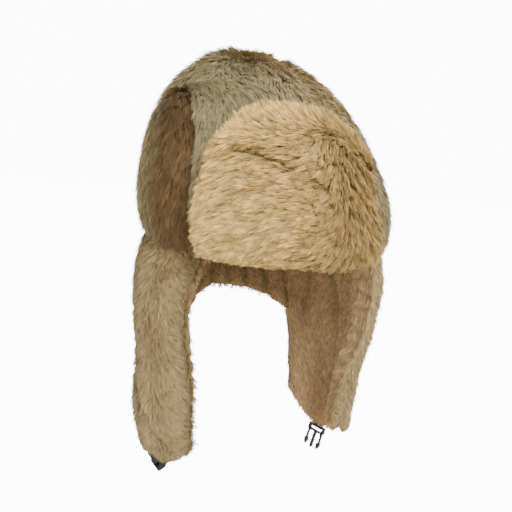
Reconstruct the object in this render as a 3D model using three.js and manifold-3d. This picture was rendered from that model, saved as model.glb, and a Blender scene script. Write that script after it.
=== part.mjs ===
// An aviator hat of plush fur cloth, in millimetres, +Z up, the wearer's face towards -Y.
// The origin is the middle of the head opening, in the plane of the rim seam.
// The crown has a front panel, a back panel and two narrow side gussets over a padded wall.
// A front flap stands up against it, and two ear flaps and a neck band hang from its rim, each
// of two fur layers sewn at the edges. A small buckle has its plug on the left ear flap and its
// socket on the right one.

import * as THREE from "three";
import { mergeVertices } from "three/addons/utils/BufferGeometryUtils.js";
import Module from "manifold-3d";

const wasm = await Module();
wasm.setup();

// Crown, measured on the cloth under the fur
const RIM_HALF_WIDTH = 95;
const RIM_HALF_LENGTH = 116;
const CROWN_HEIGHT = 150;
const CROWN_BULGE = 0.075; // the wall swells by this share above the rim seam
const BULGE_HEIGHT = 45;
const CREST_HALF = 11; // the pinched top is a short ridge from side to side
const APEX_BACK = 18; // the ridge lies this far behind the middle
const APEX_RIGHT = 10; // and this far to the wearer's right
const ROUNDNESS = 2.24; // 2 is an ellipse, and more is squarer
const DRAWN_SLOPE = 0.46; // where the pinch draws the cloth tight it is this much nearer to a cone
const DRAWN_ANGLE = -38; // that is on the wearer's front left

// Layers
const GAP = 0.3;
const FUR = 12.5; // height of the pile over the cloth
const SHORT_FUR = 11; // on the linings
const PRESSED_FUR = 7.5; // on the crown, under the front flap
const CLOTH = 0.2; // from the panel's back to its drawn cloth surface
const WALL_THICK = 8; // quilted padding inside the crown
const LOCK_ROOT = 0.74; // between the locks the pile stands at this share of its height
const LOCK_EDGE = 0.55; // and at this share along a panel's edges
const LOCK_TIP = 1.04; // and at this share at the locks' tips
const LOCK_SCATTER = 0.1; // give or take this much
const CAUGHT = 0.62; // share of its height that pile keeps where a seam catches it

// Flaps
const FLAP_CENTRE = -99.5; // degrees round the rim; -90 is straight ahead
const FLAP_HALF = 37; // degrees
const FLAP_TOP = 102;
const FLAP_SHOULDER = 31; // its upper corners are this much lower
const FLAP_TAPER = 0.2; // and it is narrower by this share at the top
const FLAP_TUCK = 10; // degrees that its left side edge is drawn in, half way up
const FLAP_BOTTOM = -1;

// Cloth sizes of the hanging pieces, to measure how far a place is from their edges
const FLAP_SIZE = { wide: 165, tall: 100 };
const EAR_SIZE = { wide: 135, tall: 195 };
const BAND_SIZE = { wide: 130, tall: 80 };

// Buckle, for 12 mm webbing
const BUCKLE_WIDTH = 20.4;
const BUCKLE_THICK = 4.4;
const PLUG_LENGTH = 26.5;
const SOCKET_LENGTH = 22;
const SOCKET_THICK = 7.4;
const MOUTH_THICK = 4.6;
const BAR = 1.9;
const SLOT_LONG = 15;
const SLOT_WIDE = 4.2;
const STRAP_WIDE = 12.5;
const STRAP_THICK = 0.9;

const rad = THREE.MathUtils.degToRad;
const lerp = THREE.MathUtils.lerp;
const clamp = THREE.MathUtils.clamp;
const smooth = THREE.MathUtils.smoothstep;

// The value at x on smooth curves through a table's rows. from and to name its columns.
function along(table, from, to, x) {
  let k = 0;
  while (k < table.length - 2 && x > table[k + 1][from]) k += 1;
  const slope = (i) => {
    const a = table[Math.max(i - 1, 0)];
    const b = table[Math.min(i + 1, table.length - 1)];
    return (b[to] - a[to]) / (b[from] - a[from]);
  };
  const low = table[k];
  const high = table[k + 1];
  const span = high[from] - low[from];
  const t = clamp((x - low[from]) / span, -0.3, 1.3);
  if (t < 0) return low[to] + slope(k) * span * t;
  if (t > 1) return high[to] + slope(k + 1) * span * (t - 1);
  const t2 = t * t;
  const t3 = t2 * t;
  return (
    low[to] * (2 * t3 - 3 * t2 + 1) +
    high[to] * (3 * t2 - 2 * t3) +
    slope(k) * span * (t3 - 2 * t2 + t) +
    slope(k + 1) * span * (t3 - t2)
  );
}

// A repeatable number from -1 to 1 for a pair of whole numbers
function scatter(i, j) {
  const wave = Math.sin(i * 127.1 + j * 311.7) * 43758.5453;
  return 2 * (wave - Math.floor(wave)) - 1;
}

// The wall's profile power at an angle round the rim
function wallPower(angle) {
  return 2 / (ROUNDNESS - DRAWN_SLOPE * Math.max(0, Math.cos(rad(angle - DRAWN_ANGLE))));
}

// The crown's cloth: angle round the rim in degrees, rise 0 at the rim to 1 at the crest
function crownCloth(angle, rise, inset = 0) {
  const a = rad(angle);
  const power = wallPower(angle);
  const turn = (clamp(rise, 0, 1) * Math.PI) / 2;
  const reach = Math.max(0, Math.cos(turn)) ** power;
  const lift = Math.sin(turn) ** power;
  const z = (CROWN_HEIGHT - inset) * lift + Math.min(rise, 0) * CROWN_HEIGHT;
  const below = 1 - clamp(z / BULGE_HEIGHT, -1, 1);
  const swell = 1 + CROWN_BULGE * (1 - below * below);
  const crest = CREST_HALF / RIM_HALF_WIDTH;
  return new THREE.Vector3(
    (RIM_HALF_WIDTH - inset) * Math.cos(a) * swell * lerp(crest, 1, reach) - APEX_RIGHT * lift ** 1.5,
    (RIM_HALF_LENGTH - inset) * Math.sin(a) * swell * reach + APEX_BACK * lift ** 1.5,
    z,
  );
}

// A surface's outward direction at (u, v), from its two slopes
function outward(surface, u, v, side = 1) {
  const step = 0.01;
  const du = surface(u + step, v).sub(surface(u - step, v));
  const dv = surface(u, v + step).sub(surface(u, v - step));
  return du.cross(dv).normalize().multiplyScalar(side);
}

const crownOut = (angle, rise) =>
  outward((a, r) => crownCloth(a * 90, r), angle / 90, Math.min(rise, 0.96));

// Corners and triangles to one closed geometry, with its faces pointing out
function closedGeometry(points, triangles) {
  const position = new Float32Array(points.flatMap((p) => [p.x, p.y, p.z]));
  const raw = new THREE.BufferGeometry();
  raw.setAttribute("position", new THREE.BufferAttribute(position, 3));
  raw.setIndex(triangles.flat());
  const merged = mergeVertices(raw, 1e-3);
  const at = merged.attributes.position;
  const index = merged.index.array;
  const kept = [];
  let volume = 0;
  const [a, b, c] = [0, 1, 2].map(() => new THREE.Vector3());
  for (let k = 0; k < index.length; k += 3) {
    const [i, j, m] = [index[k], index[k + 1], index[k + 2]];
    if (i === j || j === m || m === i) continue;
    kept.push([i, j, m]);
    a.fromBufferAttribute(at, i);
    volume += a.dot(b.fromBufferAttribute(at, j).cross(c.fromBufferAttribute(at, m)));
  }
  merged.setIndex((volume < 0 ? kept.map(([i, j, m]) => [i, m, j]) : kept).flat());
  return merged;
}

// A panel of fur cloth as one closed body. Its back follows surface(u, v), with u and v from 0
// to 1, and its front is a field of locks on a lattice of diamonds. Each lock has four faces and
// one raised tip that leans along the nap. spread lets the fur hang over the cloth's edges, and
// limit keeps it on its own side of the rim seam.
function furPanel({ surface, out, lattice, height, nap, limit, spread = (u, v) => [u, v] }) {
  const [columns, rows] = lattice.map((n) => 2 * n);
  const points = [];
  const furAt = [];
  const backAt = [];
  const put = (p) => points.push(p) - 1;
  const lifted = (u, v, share) => {
    const [su, sv] = spread(u, v);
    return limit(surface(su, sv).addScaledVector(out(su, sv), height(u, v) * share));
  };
  const edge = (u, v) => u === 0 || v === 0 || u === 1 || v === 1;
  for (let i = 0; i <= columns; i += 1) {
    furAt.push([]);
    backAt.push([]);
    for (let j = 0; j <= rows; j += 1) {
      const u = i / columns;
      const v = j / rows;
      if ((i + j) % 2 === 0) {
        const root = LOCK_ROOT + (LOCK_SCATTER / 2) * scatter(i, j);
        furAt[i][j] = put(lifted(u, v, edge(u, v) ? LOCK_EDGE : root));
        backAt[i][j] = put(surface(u, v));
      } else if (!edge(u, v)) {
        const [lu, lv] = nap(u, v);
        const tipU = clamp(u + (lu + 0.25 * scatter(i, j)) / columns, 0, 1);
        const tipV = clamp(v + (lv + 0.25 * scatter(j, i)) / rows, 0, 1);
        furAt[i][j] = put(lifted(tipU, tipV, LOCK_TIP + LOCK_SCATTER * scatter(i + 7, j)));
      }
    }
  }
  const triangles = [];
  for (let i = 0; i <= columns; i += 1) {
    for (let j = 0; j <= rows; j += 1) {
      if ((i + j) % 2 === 0) continue;
      const ring = [[i - 1, j], [i, j - 1], [i + 1, j], [i, j + 1]].filter(
        ([p, q]) => p >= 0 && q >= 0 && p <= columns && q <= rows,
      );
      const fur = ring.map(([p, q]) => furAt[p][q]);
      const back = ring.map(([p, q]) => backAt[p][q]);
      if (ring.length === 4) {
        fur.forEach((corner, k) => triangles.push([corner, fur[(k + 1) % 4], furAt[i][j]]));
        triangles.push([back[0], back[2], back[1]], [back[0], back[3], back[2]]);
        continue;
      }
      triangles.push(fur, [back[0], back[2], back[1]]);
      const [p, q] = ring
        .map((spot, k) => ({ spot, k }))
        .filter(({ spot }) => (i === 0 || i === columns ? spot[0] === i : spot[1] === j))
        .map(({ k }) => k);
      const turned = (q - p + 3) % 3 === 1;
      const [s, t] = turned ? [p, q] : [q, p];
      triangles.push([fur[t], fur[s], back[s]], [fur[t], back[s], back[t]]);
    }
  }
  return closedGeometry(points, triangles);
}

const aboveRim = (p) => p.setZ(Math.max(p.z, GAP / 2));
const belowRim = (p) => p.setZ(Math.min(p.z, -GAP / 2));
const anywhere = (p) => p;

// Crown panels. Each seam gives the angle round the rim at some rises, on the wearer's right;
// the left side mirrors it. The gusset lies between the two and ends in a rounded tongue.
const SEAMS = [
  { rise: 0, front: -144, back: -170 },
  { rise: 0.2, front: -143, back: -170 },
  { rise: 0.33, front: -143, back: -172 },
  { rise: 0.42, front: -147, back: -175 },
  { rise: 0.52, front: -155, back: -178 },
  { rise: 7 / 12, front: -169, back: -169 },
];
const GUSSET_TOP = 7 / 12;
const CREST_SEAM = -178; // where the seam above the gusset meets the crest

// Soft furrows that run down from the pinched top, and the ridge beside one of them
const CROWN_FOLDS = [
  { angle: -122, width: 7, depth: 5.5, from: 0.55, to: 1 },
  { angle: -78, width: 6, depth: 4.5, from: 0.5, to: 0.98 },
  { angle: -62, width: 7, depth: -3, from: 0.5, to: 0.95 },
  { angle: -158, width: 8, depth: -2.5, from: 0.6, to: 0.95 },
  { angle: -28, width: 26, depth: 5.5, from: 0.6, to: 1 },
  { angle: 60, width: 9, depth: 4, from: 0.55, to: 1 },
  { angle: 118, width: 9, depth: 4, from: 0.5, to: 1 },
];

function foldDepth(angle, rise) {
  return CROWN_FOLDS.reduce((sum, fold) => {
    const away = ((angle - fold.angle + 540) % 360) - 180;
    const starts = smooth(rise, fold.from, fold.from + 0.15);
    const ends = 1 - smooth(rise, fold.to, fold.to + 0.03);
    return sum + fold.depth * starts * ends * Math.exp(-((away / fold.width) ** 2));
  }, 0);
}

// The pile stands lower where it is caught in a seam: 0 at the seam to 1 away from it
function clearOfSeam(distance, reach = 9) {
  return smooth(distance, -0.35 * reach, reach);
}

const nearRim = (z) => lerp(CAUGHT, 1, clearOfSeam(z, 14));

// How far a place on the crown is covered by the front flap, 0 to 1
function underFlap(angle, z) {
  const away = Math.abs((angle - FLAP_CENTRE) / (FLAP_HALF + 2));
  const spot = (away ** 2.6 + (Math.max(z, 0) / (FLAP_TOP + 4)) ** 2.6) ** (1 / 2.6);
  return 1 - smooth(spot, 0.94, 1.12);
}

function crownPanel(name, angles, riseTo, lattice) {
  const surface = (u, v) => {
    const [low, high] = angles(v * riseTo);
    return crownCloth(lerp(low, high, u), v * riseTo, -CLOTH);
  };
  const height = (u, v) => {
    const [low, high] = angles(v * riseTo);
    const angle = lerp(low, high, u);
    const here = surface(u, v);
    const round = Math.hypot(here.x, here.y) * rad(high - low);
    const seam = Math.min(u, 1 - u) * round;
    const full = FUR - foldDepth(angle, v * riseTo);
    const pressed = lerp(full, PRESSED_FUR, underFlap(angle, here.z));
    return pressed * lerp(LOCK_EDGE, 1, clearOfSeam(seam)) * nearRim(here.z);
  };
  const out = (u, v) => {
    const [low, high] = angles(v * riseTo);
    return crownOut(lerp(low, high, u), v * riseTo);
  };
  const geometry = furPanel({
    surface,
    out,
    lattice,
    height,
    nap: (u) => [0.5 * (u - 0.5), -0.85],
    limit: aboveRim,
  });
  return fur(name, geometry);
}

function seamAt(rise, column) {
  if (rise < GUSSET_TOP) return along(SEAMS, "rise", column, rise);
  const top = SEAMS[SEAMS.length - 1][column];
  return lerp(top, CREST_SEAM, (rise - GUSSET_TOP) / (1 - GUSSET_TOP));
}
const mirrored = (angle) => -180 - angle;
// Half of the gap along a seam, in degrees, which grows as the crown narrows
const seamGap = (rise) => 0.12 / Math.max(0.12, Math.cos((rise * Math.PI) / 2));

// Front flap, face and back. Its outline is a rounded square, and it leans back with the crown.
const flapTop = (away) => FLAP_TOP - FLAP_SHOULDER * Math.abs(away) ** 3;
function flapAngle(away, v) {
  const up = clamp(v, 0, 1);
  const tuck = FLAP_TUCK * Math.max(0, away) * 4 * up * (1 - up);
  return FLAP_CENTRE + away * FLAP_HALF * (1 - FLAP_TAPER * up ** 3) - tuck;
}

// The crown's cloth at a height, moved outwards, for what lies against it
function besideCrown(angle, z, out) {
  const a = rad(angle);
  const rise = (2 / Math.PI) * Math.asin(clamp(z / CROWN_HEIGHT, 0, 1) ** (1 / wallPower(angle)));
  const cloth = crownCloth(angle, rise);
  cloth.z = z;
  const away = new THREE.Vector3(
    Math.cos(a) / RIM_HALF_WIDTH,
    Math.sin(a) / RIM_HALF_LENGTH,
    0,
  ).normalize();
  return cloth.addScaledVector(away, out);
}

// The flap stands this far off the crown's cloth, and rolls in to the rim seam at its foot
const flapStand = (z) => 9 + 5.5 * smooth(z, -2, 20) + 8 * (clamp(z, 0, 120) / FLAP_TOP) ** 2;
const flapMiddle = (gap) => (u, v) => {
  const away = 2 * u - 1;
  const z = lerp(FLAP_BOTTOM, flapTop(away), v);
  return besideCrown(flapAngle(away, v), z, flapStand(z) + gap);
};

// How far a point of a flap is from its edges, in millimetres
const fromSides = (u, v, { wide, tall }) => Math.min(u * wide, (1 - u) * wide, (1 - v) * tall);
const fromEdges = (u, v, size) => Math.min(fromSides(u, v, size), v * size.tall);

// Fur hangs over the cloth's edge by over, as shares of the flap, except where held says
function overhang(over, held = () => 0) {
  return (u, v) => {
    const side = (u < 0.5 ? 1 - smooth(u, 0, 0.16) : smooth(u, 0.84, 1)) * (u < 0.5 ? -1 : 1);
    const free = 1 - held(u, v);
    const foot = smooth(v, 0.84, 1);
    return [u + over.side * side * free, v + over.end * foot - over.start * (1 - smooth(v, 0, 0.1))];
  };
}

function frontFlap() {
  const front = flapMiddle(GAP / 2);
  const face = furPanel({
    surface: front,
    out: (u, v) => outward(front, u, v),
    lattice: [10, 7],
    height: (u, v) => (FUR + 0.5) * lerp(0.5, 1, clearOfSeam(fromEdges(u, v, FLAP_SIZE), 15)),
    nap: () => [-0.8, -0.3],
    limit: anywhere,
    spread: overhang({ side: 0.045, end: 0.05, start: 0.035 }),
  });
  const behind = flapMiddle(-3 * GAP);
  const back = furPanel({
    surface: behind,
    out: (u, v) => outward(behind, u, v, -1),
    lattice: [7, 4],
    height: (u, v) => {
      const z = lerp(FLAP_BOTTOM, flapTop(2 * u - 1), v);
      const tallest = LOCK_TIP + LOCK_SCATTER;
      const room = flapStand(z) - tallest * PRESSED_FUR * nearRim(z) - 2.6;
      return (room / tallest) * lerp(0.6, 1, clearOfSeam(fromEdges(u, v, FLAP_SIZE), 15));
    },
    nap: () => [-0.5, -0.3],
    limit: anywhere,
    spread: overhang({ side: 0.02, end: 0.04, start: 0 }),
  });
  return [fur("front_flap_face", face), fur("front_flap_back", back)];
}

// Ear flaps, as level sections of each one's middle surface, with x measured outwards: its front
// edge, its back edge, how far it bows out between them, and how square that bow is at the back
// (2 is a plain arc). Both hang a little towards the wearer's left, and the right one's back edge
// curls in.
const EAR_LEFT = [
  { drop: 0, frontX: 80, frontY: -62, backX: 61, backY: 89, bow: 23.5, full: 2 },
  { drop: 35, frontX: 92, frontY: -57, backX: 67, backY: 85, bow: 25, full: 2 },
  { drop: 68, frontX: 94, frontY: -51, backX: 73, backY: 79, bow: 25, full: 2 },
  { drop: 100, frontX: 91, frontY: -46, backX: 77, backY: 72, bow: 25, full: 2 },
  { drop: 130, frontX: 88, frontY: -38, backX: 80, backY: 65, bow: 27, full: 2 },
  { drop: 165, frontX: 88, frontY: -31, backX: 79, backY: 57, bow: 31, full: 2 },
  { drop: 210, frontX: 88, frontY: -26, backX: 78, backY: 46, bow: 30, full: 2 },
];
const EAR_RIGHT = [
  { drop: 0, frontX: 80, frontY: -62, backX: 61, backY: 89, bow: 23.5, full: 2 },
  { drop: 35, frontX: 90, frontY: -57, backX: 63, backY: 85, bow: 25, full: 2.2 },
  { drop: 70, frontX: 90, frontY: -51, backX: 59, backY: 79, bow: 27, full: 2.6 },
  { drop: 103, frontX: 84, frontY: -46, backX: 54, backY: 72, bow: 30, full: 3 },
  { drop: 135, frontX: 79, frontY: -38, backX: 52, backY: 66, bow: 34, full: 3.2 },
  { drop: 170, frontX: 76, frontY: -31, backX: 54, backY: 60, bow: 35, full: 3.2 },
  { drop: 216, frontX: 75, frontY: -26, backX: 56, backY: 48, bow: 26, full: 2.6 },
];
// How far down their lower edges are, from the back edge (0) to the front edge (1)
const EAR_EDGE = [
  { across: 0, left: 189, right: 170 },
  { across: 0.12, left: 211, right: 181 },
  { across: 0.3, left: 217, right: 191 },
  { across: 0.5, left: 215, right: 202 },
  { across: 0.7, left: 211, right: 213 },
  { across: 0.88, left: 203, right: 211 },
  { across: 1, left: 184, right: 192 },
];

function earMiddle(hand, gap) {
  const sections = hand < 0 ? EAR_RIGHT : EAR_LEFT;
  const side = hand < 0 ? "right" : "left";
  return (u, v) => {
    const drop = lerp(GAP, along(EAR_EDGE, "across", side, u), v);
    const at = (column) => along(sections, "drop", column, drop);
    const x = lerp(at("backX"), at("frontX"), u);
    const y = lerp(at("backY"), at("frontY"), u);
    const chord = new THREE.Vector2(at("frontY") - at("backY"), at("backX") - at("frontX"));
    const bow = at("bow") * (1 - Math.abs(2 * u - 1) ** (u < 0.5 ? at("full") : 2));
    chord.normalize().multiplyScalar(-(bow + gap));
    return new THREE.Vector3(hand * (x + chord.x), y + chord.y, -drop);
  };
}

// Furrows down a lining, as a place across it, a half width and a depth
const EAR_FURROWS = [
  { across: 0.36, width: 0.05, depth: 4.5, to: 0.95 },
  { across: 0.68, width: 0.07, depth: 2, to: 0.7 },
];
function furrow(u, v) {
  return EAR_FURROWS.reduce((sum, row) => {
    const ends = 1 - smooth(v, row.to - 0.2, row.to);
    return sum + row.depth * ends * Math.exp(-(((u - row.across) / row.width) ** 2));
  }, 0);
}

// Where an ear flap is sewn to the neck band, its fur doesn't hang over its edge
const joined = (u, v) => (1 - smooth(u, 0.1, 0.3)) * (1 - smooth(v, 0.6, 0.8));
const EAR_LATTICE = [7, 8];

function earFlap(hand, word, cut) {
  const spread = overhang({ side: 0.06, end: 0.04, start: 0 }, joined);
  const outside = earMiddle(hand, GAP / 2);
  const inside = earMiddle(hand, -GAP / 2);
  const outer = furPanel({
    surface: outside,
    out: (u, v) => outward(outside, u, v, hand),
    lattice: EAR_LATTICE,
    height: (u, v) => {
      const side = lerp(LOCK_EDGE, 1, clearOfSeam(fromSides(u, v, EAR_SIZE), 14));
      return FUR * side * nearRim(v * EAR_SIZE.tall);
    },
    nap: (u) => [0.9 * (0.5 - u), 0.75],
    limit: belowRim,
    spread,
  });
  const lining = furPanel({
    surface: inside,
    out: (u, v) => outward(inside, u, v, -hand),
    lattice: EAR_LATTICE,
    height: (u, v) => {
      const side = lerp(0.65, 1, clearOfSeam(fromSides(u, v, EAR_SIZE), 12));
      return (SHORT_FUR - furrow(u, v)) * side;
    },
    nap: (u) => [0.5 * (0.5 - u), 0.6],
    limit: belowRim,
    spread,
  });
  return [
    fur(`ear_flap_${word}_outer`, trimmed(outer, cut)),
    fur(`ear_flap_${word}_lining`, trimmed(lining, cut)),
  ];
}

// The upright seam between an ear flap and the neck band, as the block on one side of it. It is
// cut from the piece on the other side, so that their fur meets in one face.
const JOINT_DROP = 100;
const JOINT_REACH = 30;
function jointBlock(hand, ofBand) {
  const sections = hand < 0 ? EAR_RIGHT : EAR_LEFT;
  const rings = [];
  const points = [];
  const steps = ofBand ? 9 : 11;
  for (let k = 0; k <= steps; k += 1) {
    const drop = lerp(-3, JOINT_DROP, k / 8);
    const at = (column) => along(sections, "drop", column, drop);
    const foot = new THREE.Vector3(hand * at("backX"), at("backY"), -drop);
    const ear = new THREE.Vector3(hand * (at("frontX") - at("backX")), at("frontY") - at("backY"), 0);
    const bowed = new THREE.Vector3(-ear.y, ear.x, 0);
    bowed.multiplyScalar((hand * 4 * at("bow")) / ear.length());
    const toEar = ear.add(bowed).normalize();
    const toBand = new THREE.Vector3(-hand, 0.5, 0).normalize();
    const into = ofBand ? toBand : toEar;
    const across = toEar.clone().sub(toBand);
    across.set(-across.y, across.x, 0).normalize();
    foot.addScaledVector(into, -GAP / 2);
    const corner = (a, b) =>
      foot
        .clone()
        .addScaledVector(across, JOINT_REACH * a)
        .addScaledVector(into, JOINT_REACH * b);
    rings.push([corner(1, 0), corner(-1, 0), corner(-1, 1), corner(1, 1)]);
  }
  rings.forEach((ring) => points.push(...ring));
  const triangles = [[0, 1, 2], [0, 2, 3]];
  const last = 4 * (rings.length - 1);
  triangles.push([last, last + 2, last + 1], [last, last + 3, last + 2]);
  for (let k = 0; k < last; k += 4) {
    for (let side = 0; side < 4; side += 1) {
      const next = (side + 1) % 4;
      triangles.push([k + side, k + 4 + side, k + 4 + next], [k + side, k + 4 + next, k + next]);
    }
  }
  return solidOf(closedGeometry(points, triangles));
}

// Neck band between the ear flaps, gathered on a hidden elastic
const BAND_EDGE = [
  { across: 0, drop: 97 },
  { across: 0.1, drop: 86 },
  { across: 0.29, drop: 71 },
  { across: 0.5, drop: 71 },
  { across: 0.75, drop: 77 },
  { across: 0.91, drop: 87 },
  { across: 1, drop: 97 },
];
const NAPE = [
  { drop: 0, y: 116 },
  { drop: 40, y: 113 },
  { drop: 75, y: 107 },
  { drop: 110, y: 100 },
];
const GATHERS = 6;
const GATHER_DEPTH = 3.2;
const BAND_LATTICE = [2 * GATHERS, 4];

function bandMiddle(gap) {
  const inset = 0.4;
  return (u, v) => {
    const drop = lerp(GAP, along(BAND_EDGE, "across", "drop", clamp(u, 0, 1)), v);
    const onLeft = (column) => along(EAR_LEFT, "drop", column, drop);
    const onRight = (column) => along(EAR_RIGHT, "drop", column, drop);
    const x = lerp(inset - onRight("backX"), onLeft("backX") - inset, u);
    const beside = lerp(onRight("backY"), onLeft("backY"), u);
    const nape = along(NAPE, "drop", "y", drop);
    const bulge = 1 - (2 * u - 1) ** 2;
    return new THREE.Vector3(x, lerp(beside, nape, bulge) + gap, -drop);
  };
}

function neckBand() {
  const spread = overhang({ side: 0, end: 0.08, start: 0 });
  const { wide, tall } = BAND_SIZE;
  const seams = (u, v) =>
    clearOfSeam(Math.min(u, 1 - u) * wide, 12) * clearOfSeam(v * tall, 14);
  const hem = (v) => clearOfSeam((1 - v) * tall, 14);
  const outside = bandMiddle(GAP / 2);
  const inside = bandMiddle(-GAP / 2);
  const outer = furPanel({
    surface: outside,
    out: (u, v) => outward(outside, u, v),
    lattice: BAND_LATTICE,
    height: (u, v) => (FUR - 0.5) * lerp(0.5, 1, seams(u, v) * hem(v)),
    nap: () => [0, 0.8],
    limit: belowRim,
    spread,
  });
  const lining = furPanel({
    surface: inside,
    out: (u, v) => outward(inside, u, v, -1),
    lattice: BAND_LATTICE,
    height: (u, v) => {
      const pleat = GATHER_DEPTH * Math.cos(2 * Math.PI * GATHERS * u);
      return (SHORT_FUR - 2 - pleat) * lerp(0.5, 1, hem(v));
    },
    nap: () => [0, 0.5],
    limit: belowRim,
    spread,
  });
  const cut = jointBlock(1, false).add(jointBlock(-1, false));
  return [
    fur("neck_band_outer", trimmed(outer, cut)),
    fur("neck_band_lining", trimmed(lining, cut)),
  ];
}

// The quilted wall inside the crown, which the fur panels cover: a dome, open below
function crownWall() {
  const columns = 32;
  const rings = 8;
  const points = [];
  const grid = (inset, floor) => {
    const first = points.length;
    for (let j = 0; j <= rings; j += 1) {
      for (let i = 0; i < columns; i += 1) {
        const p = crownCloth((360 * i) / columns, j / rings, inset);
        p.z = Math.max(p.z, floor);
        if (j === rings) p.y = crownCloth(0, 1, inset).y;
        points.push(p);
      }
    }
    return (i, j) => first + j * columns + (i % columns);
  };
  const outer = grid(4 * GAP, GAP);
  const inner = grid(WALL_THICK, GAP);
  const triangles = [];
  const quad = (a, b, c, d) => triangles.push([a, b, c], [a, c, d]);
  for (let i = 0; i < columns; i += 1) {
    for (let j = 0; j < rings; j += 1) {
      quad(outer(i, j), outer(i + 1, j), outer(i + 1, j + 1), outer(i, j + 1));
      quad(inner(i, j), inner(i, j + 1), inner(i + 1, j + 1), inner(i + 1, j));
    }
    quad(outer(i, 0), inner(i, 0), inner(i + 1, 0), outer(i + 1, 0));
  }
  return mesh("crown_wall", closedGeometry(points, triangles), MATERIALS.lining);
}

// Materials
const MATERIALS = {
  fur: new THREE.MeshStandardMaterial({ color: 0xc09a66, roughness: 0.95, metalness: 0 }),
  lining: new THREE.MeshStandardMaterial({ color: 0xa9855a, roughness: 0.95, metalness: 0 }),
  webbing: new THREE.MeshStandardMaterial({ color: 0x14161a, roughness: 0.9, metalness: 0 }),
  plastic: new THREE.MeshStandardMaterial({ color: 0x0d0f14, roughness: 0.42, metalness: 0 }),
};

function mesh(name, geometry, material) {
  const made = new THREE.Mesh(geometry, material);
  made.name = name;
  return made;
}

const fur = (name, geometry) => mesh(name, geometry, MATERIALS.fur);

// Booleans
function solidOf(geometry, matrix = new THREE.Matrix4()) {
  const bare = new THREE.BufferGeometry();
  const source = geometry.index ? geometry.toNonIndexed() : geometry;
  bare.setAttribute("position", source.getAttribute("position").clone());
  bare.applyMatrix4(matrix);
  const merged = mergeVertices(bare, 1e-3);
  return new wasm.Manifold(
    new wasm.Mesh({
      numProp: 3,
      vertProperties: merged.attributes.position.array,
      triVerts: new Uint32Array(merged.index.array),
    }),
  );
}

function geometryOf(solid) {
  const made = solid.getMesh();
  const geometry = new THREE.BufferGeometry();
  geometry.setAttribute("position", new THREE.BufferAttribute(made.vertProperties, 3));
  geometry.setIndex(new THREE.BufferAttribute(made.triVerts, 1));
  return geometry;
}

const trimmed = (geometry, cut) => geometryOf(solidOf(geometry).subtract(cut));

// Outlines for the buckle, in its own plane: +Y towards the strap, Z through its thickness
function plate(points, thick, holes = []) {
  const shape = new THREE.Shape(points.map(([x, y]) => new THREE.Vector2(x, y)));
  holes.forEach((hole) => {
    shape.holes.push(new THREE.Path(hole.map(([x, y]) => new THREE.Vector2(x, y))));
  });
  const made = new THREE.ExtrudeGeometry(shape, { depth: thick, bevelEnabled: false });
  return made.translate(0, 0, -thick / 2);
}

const rounded = (halfX, low, high, corner) => [
  [-halfX + corner, low],
  [halfX - corner, low],
  [halfX, low + corner],
  [halfX, high - corner],
  [halfX - corner, high],
  [-halfX + corner, high],
  [-halfX, high - corner],
  [-halfX, low + corner],
];

// The strap bar and its slot: the bar that the webbing loops round lies at the top
const FRAME_DEEP = 2 * BAR + SLOT_WIDE;
const frameOutline = () => rounded(BUCKLE_WIDTH / 2, -FRAME_DEEP, 0, 1.2);
const slotOutline = () => rounded(SLOT_LONG / 2, -BAR - SLOT_WIDE, -BAR, 0.8);

function buckleUnion(pieces) {
  return geometryOf(pieces.map((piece) => solidOf(piece)).reduce((sum, next) => sum.add(next)));
}

// The plug: a guide tongue between two springy arms that end in barbs
function plugGeometry() {
  const tip = -PLUG_LENGTH;
  const tongue = [
    [-2, -FRAME_DEEP + 0.5],
    [-1.5, -FRAME_DEEP - 2],
    [-1.5, tip + 1.2],
    [-0.8, tip],
    [0.8, tip],
    [1.5, tip + 1.2],
    [1.5, -FRAME_DEEP - 2],
    [2, -FRAME_DEEP + 0.5],
  ];
  const arm = (hand) =>
    [
      [BUCKLE_WIDTH / 2 - 1.3, -FRAME_DEEP + 0.5],
      [BUCKLE_WIDTH / 2 - 3.4, -FRAME_DEEP + 0.5],
      [BUCKLE_WIDTH / 2 - 2.6, -FRAME_DEEP - 3],
      [BUCKLE_WIDTH / 2 - 2.6, tip + 9],
      [BUCKLE_WIDTH / 2 - 4.4, tip + 7.4],
      [BUCKLE_WIDTH / 2 - 4.2, tip + 4.4],
      [BUCKLE_WIDTH / 2 - 2.6, tip + 1],
      [BUCKLE_WIDTH / 2 - 1.7, tip + 1.3],
      [BUCKLE_WIDTH / 2 - 0.2, tip + 4.6],
      [BUCKLE_WIDTH / 2 + 0.2, tip + 7.6],
      [BUCKLE_WIDTH / 2 - 0.9, tip + 9],
    ].map(([x, y]) => [hand * x, y]);
  return buckleUnion([
    plate(frameOutline(), BUCKLE_THICK, [slotOutline()]),
    plate(tongue, BUCKLE_THICK - 1.2),
    plate(arm(1), BUCKLE_THICK - 0.6),
    plate(arm(-1), BUCKLE_THICK - 0.6),
  ]);
}

// The socket: a shell with an open mouth for the plug and a window each side for its barbs
function socketGeometry() {
  const body = rounded(BUCKLE_WIDTH / 2 + 0.6, -SOCKET_LENGTH, -FRAME_DEEP + 1, 2.2);
  const mouth = rounded(BUCKLE_WIDTH / 2 - 1.1, -SOCKET_LENGTH - 3, -FRAME_DEEP - 1, 0.6);
  const window = rounded(BUCKLE_WIDTH, -SOCKET_LENGTH + 4.4, -SOCKET_LENGTH + 9.4, 1);
  const cavity = solidOf(plate(mouth, MOUTH_THICK)).add(solidOf(plate(window, MOUTH_THICK)));
  const shell = solidOf(plate(body, SOCKET_THICK)).add(
    solidOf(plate(frameOutline(), BUCKLE_THICK, [slotOutline()])),
  );
  return geometryOf(shell.subtract(cavity));
}

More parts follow.
